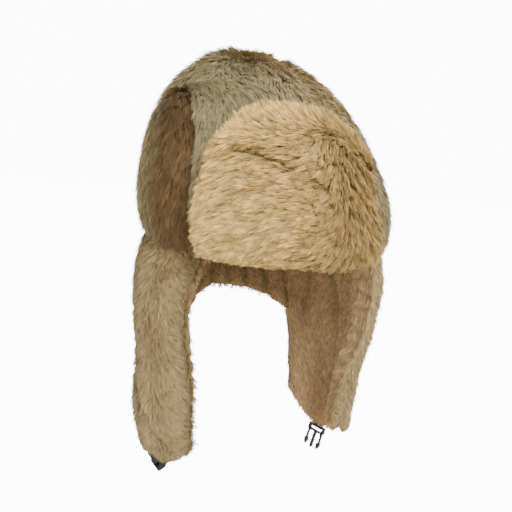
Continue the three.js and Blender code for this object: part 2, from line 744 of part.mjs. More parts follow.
// The strap: a short loop of webbing round the bar, doubled above it. It bends to hang straight
// down from between a flap's two layers. These are its side outlines, in the buckle's plane.
const STRAP_SPREAD = BUCKLE_THICK / 2 + GAP + STRAP_THICK;
const BEND = 4.5;
function strapOutline({ out, tilt }, grow) {
  const low = -BAR - GAP - STRAP_THICK - grow;
  const wide = STRAP_SPREAD + grow;
  const half = STRAP_THICK + grow;
  const turn = rad(tilt);
  const length = out + 9 - BEND + grow;
  const above = (side, reach) => [
    side * half * Math.cos(turn) + reach * Math.sin(turn),
    BEND - side * half * Math.sin(turn) + reach * Math.cos(turn),
  ];
  return [
    [-wide, low + 0.6],
    [0.6 - wide, low],
    [wide - 0.6, low],
    [wide, low + 0.6],
    [wide, GAP + 0.6],
    above(1, 0),
    above(1, length),
    above(-1, length),
    above(-1, 0),
    [-wide, GAP + 0.6],
  ];
}

function strapGeometry(place) {
  const inside = STRAP_SPREAD - STRAP_THICK;
  const hole = [
    [-inside, -BAR - GAP],
    [inside, -BAR - GAP],
    [inside, GAP],
    [0, GAP + 2.2],
    [-inside, GAP],
  ];
  return plate(strapOutline(place, 0), STRAP_WIDE, [hole]).rotateY(Math.PI / 2);
}

// Where a buckle half hangs: a place on the ear flap's lower edge, how far its strap leaves the
// cloth there, and its turns: in the flap's plane, out of that plane, and about its own length
const PLUG_PLACE = { hand: 1, across: 0.25, out: 9.4, swing: 10.8, tilt: -15.7, twist: -19.5 };
const SOCKET_PLACE = { hand: -1, across: 0.4, out: 26.5, swing: -15, tilt: 37, twist: -17 };

function hangMatrix({ hand, across, out, swing, tilt, twist }) {
  const surface = earMiddle(hand, 0);
  const foot = surface(across, 1);
  const forward = surface(across + 0.1, 1).sub(surface(across - 0.1, 1));
  forward.z = 0;
  forward.normalize();
  const up = new THREE.Vector3(0, 0, 1);
  const face = new THREE.Vector3().crossVectors(forward, up);
  const frame = new THREE.Matrix4().makeBasis(forward, up, face);
  foot.z -= out;
  frame.setPosition(foot.addScaledVector(face, -BEND * Math.sin(rad(tilt))));
  frame.multiply(new THREE.Matrix4().makeRotationZ(rad(-swing)));
  frame.multiply(new THREE.Matrix4().makeRotationX(rad(tilt)));
  return frame.multiply(new THREE.Matrix4().makeRotationY(rad(twist)));
}

function hung(name, geometry, material, matrix) {
  const made = mesh(name, geometry, material);
  made.applyMatrix4(matrix);
  return made;
}

// The room that a strap and a buckle half need in the fur, cut from both layers of a flap
function hangingRoom(place) {
  const matrix = hangMatrix(place);
  const slit = plate(strapOutline(place, GAP), STRAP_WIDE + 2 * GAP).rotateY(Math.PI / 2);
  const buckle = plate(
    rounded(BUCKLE_WIDTH / 2 + 1.4, -PLUG_LENGTH - 1, GAP, 1),
    SOCKET_THICK + 2 * GAP,
  );
  return solidOf(slit, matrix).add(solidOf(buckle, matrix));
}

const hat = new THREE.Group();
const frontSeam = (rise) => seamAt(rise, "front");
const backSeam = (rise) => seamAt(rise, "back");
const between = (low, high) => (rise) => [low(rise) + seamGap(rise), high(rise) - seamGap(rise)];
const frontSeamLeft = (rise) => mirrored(frontSeam(rise));
const backSeamLeft = (rise) => mirrored(backSeam(rise));
hat.add(
  crownPanel("crown_front", between(frontSeam, frontSeamLeft), 1, [10, 12]),
  crownPanel("crown_back", between(backSeamLeft, (rise) => backSeam(rise) + 360), 1, [11, 12]),
  crownPanel("crown_gusset_right", between(backSeam, frontSeam), GUSSET_TOP, [3, 7]),
  crownPanel("crown_gusset_left", between(frontSeamLeft, backSeamLeft), GUSSET_TOP, [3, 7]),
  crownWall(),
  ...frontFlap(),
  ...neckBand(),
);

const plugAt = hangMatrix(PLUG_PLACE);
const socketAt = hangMatrix(SOCKET_PLACE);
hat.add(
  ...earFlap(1, "left", hangingRoom(PLUG_PLACE).add(jointBlock(1, true))),
  ...earFlap(-1, "right", hangingRoom(SOCKET_PLACE).add(jointBlock(-1, true))),
  hung("strap_left", strapGeometry(PLUG_PLACE), MATERIALS.webbing, plugAt),
  hung("strap_right", strapGeometry(SOCKET_PLACE), MATERIALS.webbing, socketAt),
  hung("buckle_plug", plugGeometry(), MATERIALS.plastic, plugAt),
  hung("buckle_socket", socketGeometry(), MATERIALS.plastic, socketAt),
);

export default hat;
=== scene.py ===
import math

import bmesh
import bpy
import numpy as np
from mathutils import Matrix, Vector, kdtree, noise


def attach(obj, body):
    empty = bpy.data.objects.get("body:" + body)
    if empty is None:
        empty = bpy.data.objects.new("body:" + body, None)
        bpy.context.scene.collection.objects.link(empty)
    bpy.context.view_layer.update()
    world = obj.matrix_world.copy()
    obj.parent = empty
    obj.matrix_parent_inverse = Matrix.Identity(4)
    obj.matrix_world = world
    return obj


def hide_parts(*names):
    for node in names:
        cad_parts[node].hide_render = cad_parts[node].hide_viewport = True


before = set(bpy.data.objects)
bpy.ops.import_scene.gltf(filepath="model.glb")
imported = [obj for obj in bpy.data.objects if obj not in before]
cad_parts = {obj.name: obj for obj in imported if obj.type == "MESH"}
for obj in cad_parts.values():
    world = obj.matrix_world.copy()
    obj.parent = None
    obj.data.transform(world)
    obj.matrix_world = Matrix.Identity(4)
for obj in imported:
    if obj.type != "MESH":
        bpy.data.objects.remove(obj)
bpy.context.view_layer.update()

# The view
# The hat is seen from the wearer's front right and a little above, close enough for the ear
# flaps to spread in perspective, and turned a few degrees clockwise.
view_azimuth, view_height, view_roll = (math.radians(angle) for angle in (-22, 10.5, 4))
view_distance = 0.478
view_target = Vector((-0.0015, 0.001, -0.0205))
half_frame, focal = 256, 500

level_view = Matrix.Rotation(view_azimuth, 3, "Z") @ Matrix.Rotation(
    math.pi / 2 - view_height, 3, "X"
)
lens = bpy.data.cameras.new("view")
lens.sensor_fit = "HORIZONTAL"
lens.angle = 2 * math.atan(half_frame / focal)
lens.clip_start = 0.01


def placed(name, data):
    """An object of the scene that holds data."""
    made = bpy.data.objects.new(name, data)
    bpy.context.scene.collection.objects.link(made)
    return made


camera = placed("view", lens)
camera.matrix_world = Matrix.LocRotScale(
    view_target + level_view.col[2] * view_distance,
    level_view @ Matrix.Rotation(view_roll, 3, "Z"),
    None,
)
bpy.context.scene.camera = camera


def lamp(name, right, up, back, power, size):
    """A soft square light, placed from the hat along the view's own directions, in metres."""
    data = bpy.data.lights.new(name, "AREA")
    data.energy = power
    data.size = size
    place = view_target + level_view @ Vector((right, 0, back)) + Vector((0, 0, up))
    turn = (view_target - place).to_track_quat("-Z", "Y")
    placed(name, data).matrix_world = Matrix.LocRotScale(place, turn, None)


lamp("window", right=0.5, up=0.6, back=1.05, power=22, size=0.55)
lamp("wall_bounce", right=-0.7, up=-0.25, back=1.0, power=5, size=0.9)
lamp("ceiling", right=0.3, up=1.2, back=-0.2, power=9, size=0.7)


def feed(made, values):
    """Sets a node's inputs, or joins them to the outputs that are given for them."""
    for key, value in values.items():
        if isinstance(value, bpy.types.NodeSocket):
            made.id_data.links.new(value, made.inputs[key])
        else:
            made.inputs[key].default_value = value


def node(tree, kind, values=None, **settings):
    made = tree.nodes.new("ShaderNode" + kind)
    for key, value in settings.items():
        setattr(made, key, value)
    feed(made, values or {})
    return made


sky_glow, room_glow = 12, 0.58

sky = bpy.data.worlds.new("pale_room")
sky.use_nodes = True
room = sky.node_tree
soft_light = room.nodes["Background"]
feed(soft_light, {"Strength": room_glow, "Color": (1, 0.99, 0.97, 1)})
backdrop = node(room, "Background", {"Strength": sky_glow, "Color": (1, 1, 1, 1)})
seen = node(room, "LightPath").outputs["Is Camera Ray"]
either = node(room, "MixShader", {0: seen, 1: soft_light.outputs[0], 2: backdrop.outputs[0]})
feed(room.nodes["World Output"], {0: either.outputs[0]})
bpy.context.scene.world = sky

# The floor
# A plain pale floor under the hanging hat, matt and faintly mottled.
floor_drop, floor_half, floor_glow = 0.31, 6.0, 12.5

floor_mesh = bpy.data.meshes.new("floor")
corners = [
    (x * floor_half, y * floor_half, -floor_drop)
    for x, y in ((-1, -1), (1, -1), (1, 1), (-1, 1))
]
floor_mesh.from_pydata(corners, [], [range(4)])
placed("floor", floor_mesh)


def new_material(name, roughness):
    """A material, its node tree and its Principled shader."""
    made = bpy.data.materials.new(name)
    made.use_nodes = True
    shader = made.node_tree.nodes["Principled BSDF"]
    feed(shader, {"Roughness": roughness})
    return made, made.node_tree, shader


def ramp(tree, share, low, high):
    """The colour that a share has between two (place, colour) stops."""
    made = node(tree, "ValToRGB", {"Fac": share})
    for stop, (place, colour) in zip(made.color_ramp.elements, (low, high)):
        stop.position = place
        stop.color = (*colour, 1)
    return made.outputs["Color"]


floor_paint, tree, shader = new_material("pale_floor", 0.9)
mottle = node(tree, "TexNoise", {"Scale": 3.0, "Detail": 2.0}).outputs["Fac"]
shades = ramp(tree, mottle, (0.3, (0.93, 0.93, 0.93)), (0.7, (0.96, 0.96, 0.96)))
seen = node(tree, "LightPath").outputs["Is Camera Ray"]
glow = node(tree, "Math", {0: seen, 1: floor_glow}, operation="MULTIPLY").outputs[0]
feed(shader, {"Base Color": shades, "Emission Color": shades, "Emission Strength": glow})
floor_mesh.materials.append(floor_paint)

# The crown
# Four panels of plush cloth, front, back and a narrow gusset at each side, meet in sewn seams
# and are pinched at the top into a short ridge. The cloth's pile is about 12 mm of soft fibre,
# brushed down and matted into small locks with paler tips. Shapes here are in millimetres.
rim_half_width, rim_half_length, crown_height = 95, 116, 150
crown_bulge, bulge_height = 0.075, 45
crest_half, apex_back, apex_right = 11, 18, 10
roundness, drawn_slope, drawn_angle = 2.24, 0.46, -38
fur, short_fur, pressed_fur = 12.5, 11, 7.5
flap_centre, flap_half, flap_top, flap_shoulder = -99.5, 37, 102, 31
flap_taper, flap_tuck, flap_bottom = 0.2, 10, -1
gusset_top, crest_seam = 7 / 12, -178
rim_gap, cloth_lift, below_seam = 0.3, -0.2, -3


def table(columns, *rows):
    """Rows of numbers under named columns."""
    return [dict(zip(columns.split(), row)) for row in rows]


seams = table(
    "rise front back",
    (0, -144, -170),
    (0.2, -143, -170),
    (0.33, -143, -172),
    (0.42, -147, -175),
    (0.52, -155, -178),
    (gusset_top, -169, -169),
)
crown_folds = table(
    "angle width depth from to",
    (-122, 7, 5.5, 0.55, 0.88),
    (-78, 6, 4.5, 0.5, 0.88),
    (-62, 7, -3, 0.5, 0.95),
    (-158, 8, -2.5, 0.6, 0.95),
    (-28, 26, 5.5, 0.6, 1.0),
    (60, 9, 4, 0.55, 1.0),
    (118, 9, 4, 0.5, 1.0),
)


def lerp(a, b, t):
    return a + (b - a) * t


def smooth(x, low, high):
    t = np.clip((x - low) / (high - low), 0, 1)
    return t * t * (3 - 2 * t)


def xyz(x, y, z):
    return np.stack(np.broadcast_arrays(x, y, z), axis=-1).astype(float)


def unit(v):
    return v / np.maximum(np.linalg.norm(v, axis=-1, keepdims=True), 1e-9)


def along(rows, key, column, x):
    """The column's values at x on a smooth curve through a table's rows."""
    xs = np.array([row[key] for row in rows], float)
    ys = np.array([row[column] for row in rows], float)
    before = np.maximum(np.arange(len(xs)) - 1, 0)
    after = np.minimum(np.arange(len(xs)) + 1, len(xs) - 1)
    slope = (ys[after] - ys[before]) / (xs[after] - xs[before])
    k = np.clip(np.searchsorted(xs, x, side="left") - 1, 0, len(xs) - 2)
    span = xs[k + 1] - xs[k]
    t = np.clip((x - xs[k]) / span, -0.3, 1.3)
    s = np.clip(t, 0, 1)
    low, high = slope[k] * span, slope[k + 1] * span
    curve = lerp(ys[k], ys[k + 1], s * s * (3 - 2 * s)) + s * (1 - s) * (low * (1 - s) - high * s)
    return curve + low * np.minimum(t, 0) + high * np.maximum(t - 1, 0)


def wall_power(angle):
    drawn = np.maximum(0, np.cos(np.radians(angle - drawn_angle)))
    return 2 / (roundness - drawn_slope * drawn)


def crown_cloth(angle, rise, inset=0.0):
    """The crown's cloth: angle round the rim in degrees, rise 0 at the rim to 1 at the crest."""
    turn = np.clip(rise, 0, 1) * math.pi / 2
    power = wall_power(angle)
    reach = np.maximum(0, np.cos(turn)) ** power
    lift = np.sin(turn) ** power
    z = (crown_height - inset) * lift + np.minimum(rise, 0) * crown_height
    swell = 1 + crown_bulge * (1 - (1 - np.clip(z / bulge_height, -1, 1)) ** 2)
    round_it = np.radians(angle)
    crest = crest_half / rim_half_width
    x = (rim_half_width - inset) * np.cos(round_it) * swell * lerp(crest, 1, reach)
    y = (rim_half_length - inset) * np.sin(round_it) * swell * reach
    return xyz(x - apex_right * lift**1.5, y + apex_back * lift**1.5, z)


def facing(surface, u, v, side=1):
    """A surface's outward direction at (u, v)."""
    step = 0.01
    du = surface(u + step, v) - surface(u - step, v)
    dv = surface(u, v + step) - surface(u, v - step)
    return unit(np.cross(du, dv)) * side


def crown_facing(angle, rise):
    return facing(lambda a, r: crown_cloth(a * 90, r), angle / 90, np.minimum(rise, 0.96))


def fold_depth(angle, rise):
    total = 0
    for fold in crown_folds:
        away = (angle - fold["angle"] + 540) % 360 - 180
        starts = smooth(rise, fold["from"], fold["from"] + 0.15)
        ends = 1 - smooth(rise, fold["to"], fold["to"] + 0.03)
        total = total + fold["depth"] * starts * ends * np.exp(-((away / fold["width"]) ** 2))
    return total


def clear_of_seam(distance, reach=9):
    return smooth(distance, -0.35 * reach, reach)


def near_rim(z):
    return lerp(0.62, 1, clear_of_seam(z, 14))


def under_flap(angle, z):
    away = np.abs((angle - flap_centre) / (flap_half + 2))
    spot = (away**2.6 + (np.maximum(z, 0) / (flap_top + 4)) ** 2.6) ** (1 / 2.6)
    return 1 - smooth(spot, 0.94, 1.12)


def seam_at(rise, column):
    last = seams[-1][column]
    above = lerp(last, crest_seam, (rise - gusset_top) / (1 - gusset_top))
    return np.where(rise < gusset_top, along(seams, "rise", column, rise), above)


def mesh_piece(name, points, faces, spread=None):
    """A piece from points in millimetres and faces as arrays of equal-sided rows of corners.
    spread holds the values that its material reads at each point."""
    made = bpy.data.meshes.new(name)
    corners = np.concatenate([np.asarray(rows).ravel() for rows in faces])
    sizes = np.concatenate([np.full(len(rows), len(rows[0])) for rows in faces])
    made.vertices.add(len(points))
    made.vertices.foreach_set("co", (points * 0.001).astype(np.float32).ravel())
    made.loops.add(len(corners))
    made.loops.foreach_set("vertex_index", corners.astype(np.int32))
    made.polygons.add(len(sizes))
    starts = np.concatenate([[0], np.cumsum(sizes)[:-1]])
    made.polygons.foreach_set("loop_start", starts.astype(np.int32))
    made.update(calc_edges=True)
    made.shade_smooth()
    for key, values in (spread or {}).items():
        layer = made.attributes.new(key, "FLOAT", "POINT")
        layer.data.foreach_set("value", values.astype(np.float32))
    return placed(name, made)


def cloth_body(front, back):
    """The closed body between two lattices of points, as its points and four-sided faces."""
    rows, columns = front.shape[:2]
    at = np.arange(rows * columns).reshape(rows, columns)
    a, b, c, d = at[:-1, :-1], at[:-1, 1:], at[1:, 1:], at[1:, :-1]
    face = np.stack([a, b, c, d], -1).reshape(-1, 4)
    under = face[:, ::-1] + rows * columns
    edge = np.concatenate([at[0, :], at[1:, -1], at[-1, -2::-1], at[-2:0:-1, 0]])
    after = np.roll(edge, -1)
    side = np.stack([after, edge, edge + rows * columns, after + rows * columns], -1)
    points = np.concatenate([front.reshape(-1, 3), back.reshape(-1, 3)])
    return points, np.concatenate([face, under, side])


def ripple(points, size):
    """Soft noise from -1 to 1 at each point, of a size in millimetres."""
    return np.array([noise.noise(Vector(p) / size) for p in points.reshape(-1, 3)]).reshape(
        points.shape[:-1]
    )


def dressed(piece, material, node_name):
    """Gives a piece its material, puts it on the hat and lets it stand for its CAD node."""
    piece.data.materials.append(material)
    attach(piece, "root")
    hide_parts(node_name)


def none(u, v):
    return 0 * u


def throughout(u, v):
    return 1 + 0 * u


# The pile's habits: the matted share of its height at a seam and inside, and how many times that
# border goes into a panel; how a free edge turns the pile out and swells it; how far locks and
# fibres reach and how wide fibres are; how far they stray, are drawn into their lock, root in
# the under-pile and bend; and how much of its tone a fibre has from its lock.
matted_at_seam, matted_inside, borders_across = 0.45, 0.68, 40
edge_lies, edge_turns, edge_swells = 0.97, 1.5, 0.3
lock_reach, fibre_reach, fibre_half_width = (0.84, 1.12), (0.76, 1.06), (0.2, 0.36)
straying, farthest_draw, root_depth, fibre_arch, lock_dyes = 0.12, 7, 0.8, 0.12, 0.68


def plush(
    node_name,
    material,
    surface,
    height,
    nap,
    fibres,
    grain,
    seed,
    grey_and_painted_shade=none,
    over=lambda u, v: (u, v),
    roll=lambda u, v: (0 * u, 0 * v),
    lean=0.8,
    shag=throughout,
    pale_and_painted_light=none,
    dense=throughout,
    lock=5.0,
    tufted=(0.15, 0.55),
    keep=lambda p: p,
    side=1,
    out=None,
):
    """A panel of plush cloth: its matted under-pile as a closed body, with its fibres in locks.
    surface(u, v) is the cloth, height the pile's, and nap the way that it is brushed. over lets
    the pile hang over the cloth's edges, roll turns it outwards there, shag lengthens it, dense
    thickens it, pale_and_painted_light lifts its colour towards the tips' for paler fur and as
    painted light, and below zero sinks it towards the roots' as painted shade,
    grey_and_painted_shade greys it, as painted shade and as an even grey on some panels, lock
    is how wide a lock of fibres is and tufted how far they close into it, keep holds the pile
    to its own side of a seam, side or out gives the outward side, and grain is the lattice's
    columns and rows."""
    dice = np.random.default_rng(seed)
    u, v = np.meshgrid(np.linspace(0, 1, grain[0] + 1), np.linspace(0, 1, grain[1] + 1))
    place = over(u, v)
    step = 0.004
    across = unit(surface(place[0] + step, place[1]) - surface(place[0] - step, place[1]))
    down = unit(surface(place[0], place[1] + step) - surface(place[0], place[1] - step))
    to_side, to_end = roll(u, v)
    edge_on = np.clip(np.hypot(to_side, to_end), 0, 1)
    past_edge = edge_turns * (across * to_side[..., None] + down * to_end[..., None])
    base = surface(*place)
    turned_out = edge_on[..., None]
    outward = out(*place) if out else facing(surface, *place, side)
    normal = unit(outward * (1 - edge_lies * turned_out**2) + past_edge * turned_out)
    tall = height(u, v) * (1 + edge_swells * edge_on)
    lumps = 1 + 0.1 * ripple(base, 7.5) + 0.08 * ripple(base, 3.2)
    inside = np.minimum(np.minimum(u, 1 - u), np.minimum(v, 1 - v)) * borders_across
    matted = lerp(matted_at_seam, matted_inside, np.clip(inside + edge_on, 0, 1)) * lumps
    front = keep(base + normal * (tall * matted)[..., None])
    points, faces = cloth_body(front, surface(u, v))
    if side < 0:
        faces = faces[:, ::-1]

    along_u, along_v = nap(u, v)
    round_edge = base + normal * (0.6 * tall)[..., None]
    over_across = unit(np.gradient(round_edge, axis=1))
    over_down = unit(np.gradient(round_edge, axis=0))
    brushed = unit(over_across * along_u[..., None] + over_down * along_v[..., None])
    strength = np.minimum(np.hypot(along_u, along_v), 1)
    swirl = 0.4 * ripple(base, 26) + 0.3 * ripple(base + 300, 9)
    brushed = unit(brushed + np.cross(normal, brushed) * swirl[..., None])

    # Roots are spread over the pile's face by its area.
    a, b, c = front[:-1, :-1], front[:-1, 1:], front[1:, :-1]
    area = np.linalg.norm(np.cross(b - a, c - a), axis=-1).ravel()
    crowded = area * dense(u, v)[1:, 1:].ravel()

    def spots(count):
        cell = dice.choice(len(area), count, p=crowded / crowded.sum())
        j, i = np.divmod(cell, grain[0])
        s, t = dice.random(count), dice.random(count)

        def at(field):
            field = field if field.ndim == 3 else field[..., None]
            top = lerp(field[j, i], field[j, i + 1], s[:, None])
            low = lerp(field[j + 1, i], field[j + 1, i + 1], s[:, None])
            value = lerp(top, low, t[:, None])
            return value if value.shape[1] > 1 else value[:, 0]

        return at

    def tip_of(at, reach, stray):
        stands = at(tall * shag(u, v)) * reach
        sway = at(brushed) * (at(strength) * lean * stands)[:, None]
        upright = at(normal) * (stands * 0.98)[:, None]
        return at(base) + upright + sway + stray * (stands * straying)[:, None]

    locks = max(int(area.sum() / lock**2), 8)
    lock_at = spots(locks)
    lock_tip = tip_of(lock_at, dice.uniform(*lock_reach, locks), dice.normal(size=(locks, 3)))
    lock_tone = dice.random(locks)
    lock_root = lock_at(base)
    tree_of_locks = kdtree.KDTree(locks)
    for k, place_of in enumerate(lock_root):
        tree_of_locks.insert(place_of, k)
    tree_of_locks.balance()

    at = spots(fibres)
    rooted = at(base)
    nearest = np.array([tree_of_locks.find(p)[1] for p in rooted])
    reach = dice.uniform(*fibre_reach, fibres)
    own = tip_of(at, reach, dice.normal(size=(fibres, 3)))
    drawn = dice.uniform(*tufted, fibres)[:, None]
    shift = lock_tip[nearest] - own
    far = np.linalg.norm(shift, axis=1, keepdims=True)
    tip = own + shift * drawn * np.minimum(1, farthest_draw / np.maximum(far, 1e-6))
    root = rooted + at(normal) * (at(tall * matted) * root_depth)[:, None]
    middle = lerp(root, tip, 0.42) + at(normal) * (at(tall) * fibre_arch)[:, None]
    root, middle, tip = keep(root), keep(middle), keep(tip)
    flat_side = unit(np.cross(tip - root, at(normal) + 0.4 * dice.normal(size=(fibres, 3))))
    wide = dice.uniform(*fibre_half_width, fibres)[:, None]
    fibre = np.stack(
        [root, middle + flat_side * wide, middle - flat_side * wide, tip], axis=1
    ).reshape(-1, 3)
    first = len(points) + 4 * np.arange(fibres)[:, None]
    tone = lerp(dice.random(fibres), lock_tone[nearest], lock_dyes)
    pale_and_lit_share, shaded = pale_and_painted_light(u, v), grey_and_painted_shade(u, v)
    rise = np.array([0.3, 0.6, 0.6, 1]) + 0.3 * at(pale_and_lit_share)[:, None]
    skin_rise, skin_grey_and_shade = 0.3 + 0.25 * pale_and_lit_share.ravel(), np.maximum(shaded, 0).ravel()
    spread = {
        "rise": np.concatenate([skin_rise, skin_rise, rise.ravel()]),
        "tone": np.concatenate([np.full(2 * skin_rise.size, 0.5), np.repeat(tone, 4)]),
        "grey_and_painted_shade": np.concatenate([skin_grey_and_shade, skin_grey_and_shade, np.repeat(at(shaded), 4)]),
    }
    piece = mesh_piece(
        f"{node_name}_pile",
        np.concatenate([points, fibre]),
        [faces, first + np.array([0, 1, 2]), first + np.array([2, 1, 3])],
        spread,
    )
    dressed(piece, material, node_name)


def new_group(name, inputs, outputs):
    """A node group with (label, kind) sockets, what it is given, and its output node."""
    group = bpy.data.node_groups.new(name, "ShaderNodeTree")
    for sockets, way in ((inputs, "INPUT"), (outputs, "OUTPUT")):
        for label, kind in sockets:
            group.interface.new_socket(label, in_out=way, socket_type="NodeSocket" + kind)
    given = group.nodes.new("NodeGroupInput").outputs
    return group, given, group.nodes.new("NodeGroupOutput")


def mapped(tree, value, low=0.0, high=1.0, to_low=0.0, to_high=1.0):
    """A value carried from one range to another."""
    ends = {"From Min": low, "From Max": high, "To Min": to_low, "To Max": to_high}
    return node(tree, "MapRange", {"Value": value, **ends}).outputs["Result"]


def mixed(tree, share, first, second, **settings):
    colours = {0: share, 6: first, 7: second}
    return node(tree, "Mix", colours, data_type="RGBA", **settings).outputs[2]


def speckle(tree, scale, detail, rough=0.5):
    """Noise over the piece's own space."""
    where = node(tree, "TexCoord").outputs["Object"]
    values = {"Vector": where, "Scale": scale, "Detail": detail, "Roughness": rough}
    return node(tree, "TexNoise", values).outputs["Fac"]


def bumped(tree, height, strength, distance):
    """The surface's normal with a height worked into it."""
    values = {"Strength": strength, "Distance": distance, "Height": height}
    return node(tree, "Bump", values).outputs["Normal"]


# Plush takes its colour from how high up the fibre a place is and from the fibre's own tone.
# A grey multiply over it, in random patches and as each panel asks, paints shade into folds,
# creases, furrows, pleats, seams and sides turned from the light, and greys some panels
# evenly or in part.
pile_colour, given, result = new_group(
    "pile_colour",
    [(label, "Color") for label in ("Root", "Middle", "Tip", "Grey")]
    + [("Darkest", "Float"), ("Lightest", "Float")],
    [("Color", "Color"), ("Dryness", "Float")],
)
rise, tone, grey_and_painted_shade = (
    node(pile_colour, "Attribute", attribute_name=name).outputs["Fac"]
    for name in ("rise", "tone", "grey_and_painted_shade")
)
low, high = mapped(pile_colour, rise, 0.2, 0.62), mapped(pile_colour, rise, 0.55, 1.0)
body = mixed(pile_colour, low, given["Root"], given["Middle"])
dyed = mixed(pile_colour, high, body, given["Tip"])
clouds = speckle(pile_colour, 22.0, 3.0, rough=0.6)
patches = mapped(pile_colour, clouds, 0.4, 0.7, to_high=0.2)
shade = node(pile_colour, "Math", {0: grey_and_painted_shade, 1: patches}, operation="ADD", use_clamp=True)
greyed = mixed(pile_colour, shade.outputs[0], dyed, given["Grey"], blend_type="MULTIPLY")
varied = mapped(pile_colour, tone, to_low=given["Darkest"], to_high=given["Lightest"])
lit = node(pile_colour, "HueSaturation", {"Value": varied, "Color": greyed}).outputs["Color"]
feed(result, {"Color": lit, "Dryness": mapped(pile_colour, clouds, to_low=0.72, to_high=0.95)})


def plush_material(name, root, middle, tip, grey, tones=(0.72, 1.24)):
    """Plush of one dye lot: its fibres' colours from root to tip, the grey that painted shade
    multiplies them by, and how far single fibres are darker or lighter."""
    made, tree, shader = new_material(name, 0.85)
    colours = {"Root": root, "Middle": middle, "Tip": tip, "Grey": grey}
    dye_and_shade_grey = {label: (*colour, 1) for label, colour in colours.items()}
    dye_and_shade_grey["Darkest"], dye_and_shade_grey["Lightest"] = tones
    pile = node(tree, "Group", dye_and_shade_grey, node_tree=pile_colour)
    feed(
        shader,
        {
            "Base Color": pile.outputs["Color"],
            "Roughness": pile.outputs["Dryness"],
            "Normal": bumped(tree, speckle(tree, 900.0, 2.0), 0.35, 0.0006),
            "Sheen Weight": 0.2,
            "Sheen Tint": (*tip, 1),
            "Sheen Roughness": 0.6,
            "Specular IOR Level": 0.25,
        },
    )
    return made


crown_plush = plush_material(
    "crown_plush",
    (0.33, 0.25, 0.135),
    (0.46, 0.35, 0.18),
    (0.56, 0.435, 0.23),
    (0.74, 0.79, 0.79),
    tones=(0.9, 1.1),
)
gusset_plush = plush_material(
    "gusset_plush",
    (0.115, 0.065, 0.026),
    (0.165, 0.095, 0.039),
    (0.225, 0.136, 0.058),
    (1.3, 1.65, 2.1),
)


def crown_panel(node_name, angles, rise_to, material, fibres, grain, seed, grey_and_painted_shade, pale_and_painted_light=none):
    """One panel of the crown between two seams, from the rim up to a share of the crest."""

    def at(u, v):
        low_side, high_side = angles(v * rise_to)
        return lerp(low_side, high_side, u), v * rise_to

    def height(u, v):
        angle, rise_at = at(u, v)
        low_side, high_side = angles(v * rise_to)
        here = crown_cloth(angle, rise_at, cloth_lift)
        round_it = np.hypot(here[..., 0], here[..., 1]) * np.radians(high_side - low_side)
        seam = clear_of_seam(np.minimum(u, 1 - u) * round_it)
        pressed = lerp(
            fur - fold_depth(angle, rise_at), pressed_fur, under_flap(angle, here[..., 2])
        )
        return pressed * lerp(0.55, 1, seam) * near_rim(here[..., 2])

    plush(
        node_name,
        material,
        surface=lambda u, v: crown_cloth(*at(u, v), cloth_lift),
        out=lambda u, v: crown_facing(*at(u, v)),
        height=height,
        nap=lambda u, v: (0.25 * (u - 0.5), -0.9 + 0.35 * smooth(v * rise_to, 0.84, 1)),
        shag=lambda u, v: 1 + 0.1 * smooth(v * rise_to, 0.84, 1) + 0 * u,
        fibres=fibres,
        grain=grain,
        seed=seed,
        # Painted shade greys the folds in step with their depth, and near the crest the fibres are
        # painted paler, as painted light over the top.
        grey_and_painted_shade=lambda u, v: grey_and_painted_shade(u, v) + 0.13 * np.maximum(fold_depth(*at(u, v)), 0),
        lean=1.25,
        pale_and_painted_light=lambda u, v: pale_and_painted_light(u, v) + 1.3 * smooth(v * rise_to, 0.8, 0.98) + 0 * u,
        dense=lambda u, v: 1 + smooth(v * rise_to, 0.86, 0.98) + 0 * u,
        roll=lambda u, v: (0 * u, 0.5 * smooth(v * rise_to, 0.92, 0.99)),
        keep=lambda p: xyz(p[..., 0], p[..., 1], np.maximum(p[..., 2], below_seam)),
    )


def seam(column, mirrored=False, turn=0):
    """A seam's angle by the rise, on the right side or mirrored to the left one."""
    return lambda r: turn + (-180 - seam_at(r, column) if mirrored else seam_at(r, column))


def seam_gap(rise_at):
    return 0.12 / np.maximum(0.12, np.cos(rise_at * math.pi / 2))


def between(low_side, high_side):
    return lambda r: (low_side(r) + seam_gap(r), high_side(r) - seam_gap(r))


crown_panel(
    "crown_front",
    between(seam("front"), seam("front", mirrored=True)),
    1,
    crown_plush,
    fibres=74000,
    grain=(84, 60),
    seed=11,
    # Painted shade: the left side, turned from the light, and the right side beside the front flap
    # are greyed, and the lower right beside the flap's edge is darkened as the flap's painted
    # shadow. The rest is a little paler all over.
    grey_and_painted_shade=lambda u, v: 1.0 * (1 - smooth(u, 0.2, 0.6)) + 0.8 * smooth(u, 0.7, 0.9),
    pale_and_painted_light=lambda u, v: 0.3 - 2.4 * smooth(u, 0.78, 0.9) * (1 - smooth(v, 0.45, 0.7)),
)
crown_panel(
    "crown_back",
    between(seam("back", mirrored=True), seam("back", turn=360)),
    1,
    crown_plush,
    fibres=46000,
    grain=(72, 52),
    seed=12,
    grey_and_painted_shade=lambda u, v: 0.4 + 0 * u,
)
crown_panel(
    "crown_gusset_right",
    between(seam("back"), seam("front")),
    gusset_top,
    gusset_plush,
    fibres=23000,
    grain=(24, 52),
    seed=13,
    grey_and_painted_shade=lambda u, v: 1 - smooth(u, 0.16, 0.42),
)
crown_panel(
    "crown_gusset_left",
    between(seam("front", mirrored=True), seam("back", mirrored=True)),
    gusset_top,
    gusset_plush,
    fibres=13000,
    grain=(22, 44),
    seed=14,
    grey_and_painted_shade=lambda u, v: 0.45 + 0.2 * smooth(u, 0.58, 0.84),
)

# The crown's wall
# Under the plush the crown is a padded dome of plain tan cloth, quilted in broad gores that
# are sewn through to the pile's backing, and turned in along the head opening.
wall_from, wall_to, quilt_gores, quilt_rings, quilt_depth = 1.2, 8, 12, 4, 1.3
wall_columns, wall_rings = 96, 30


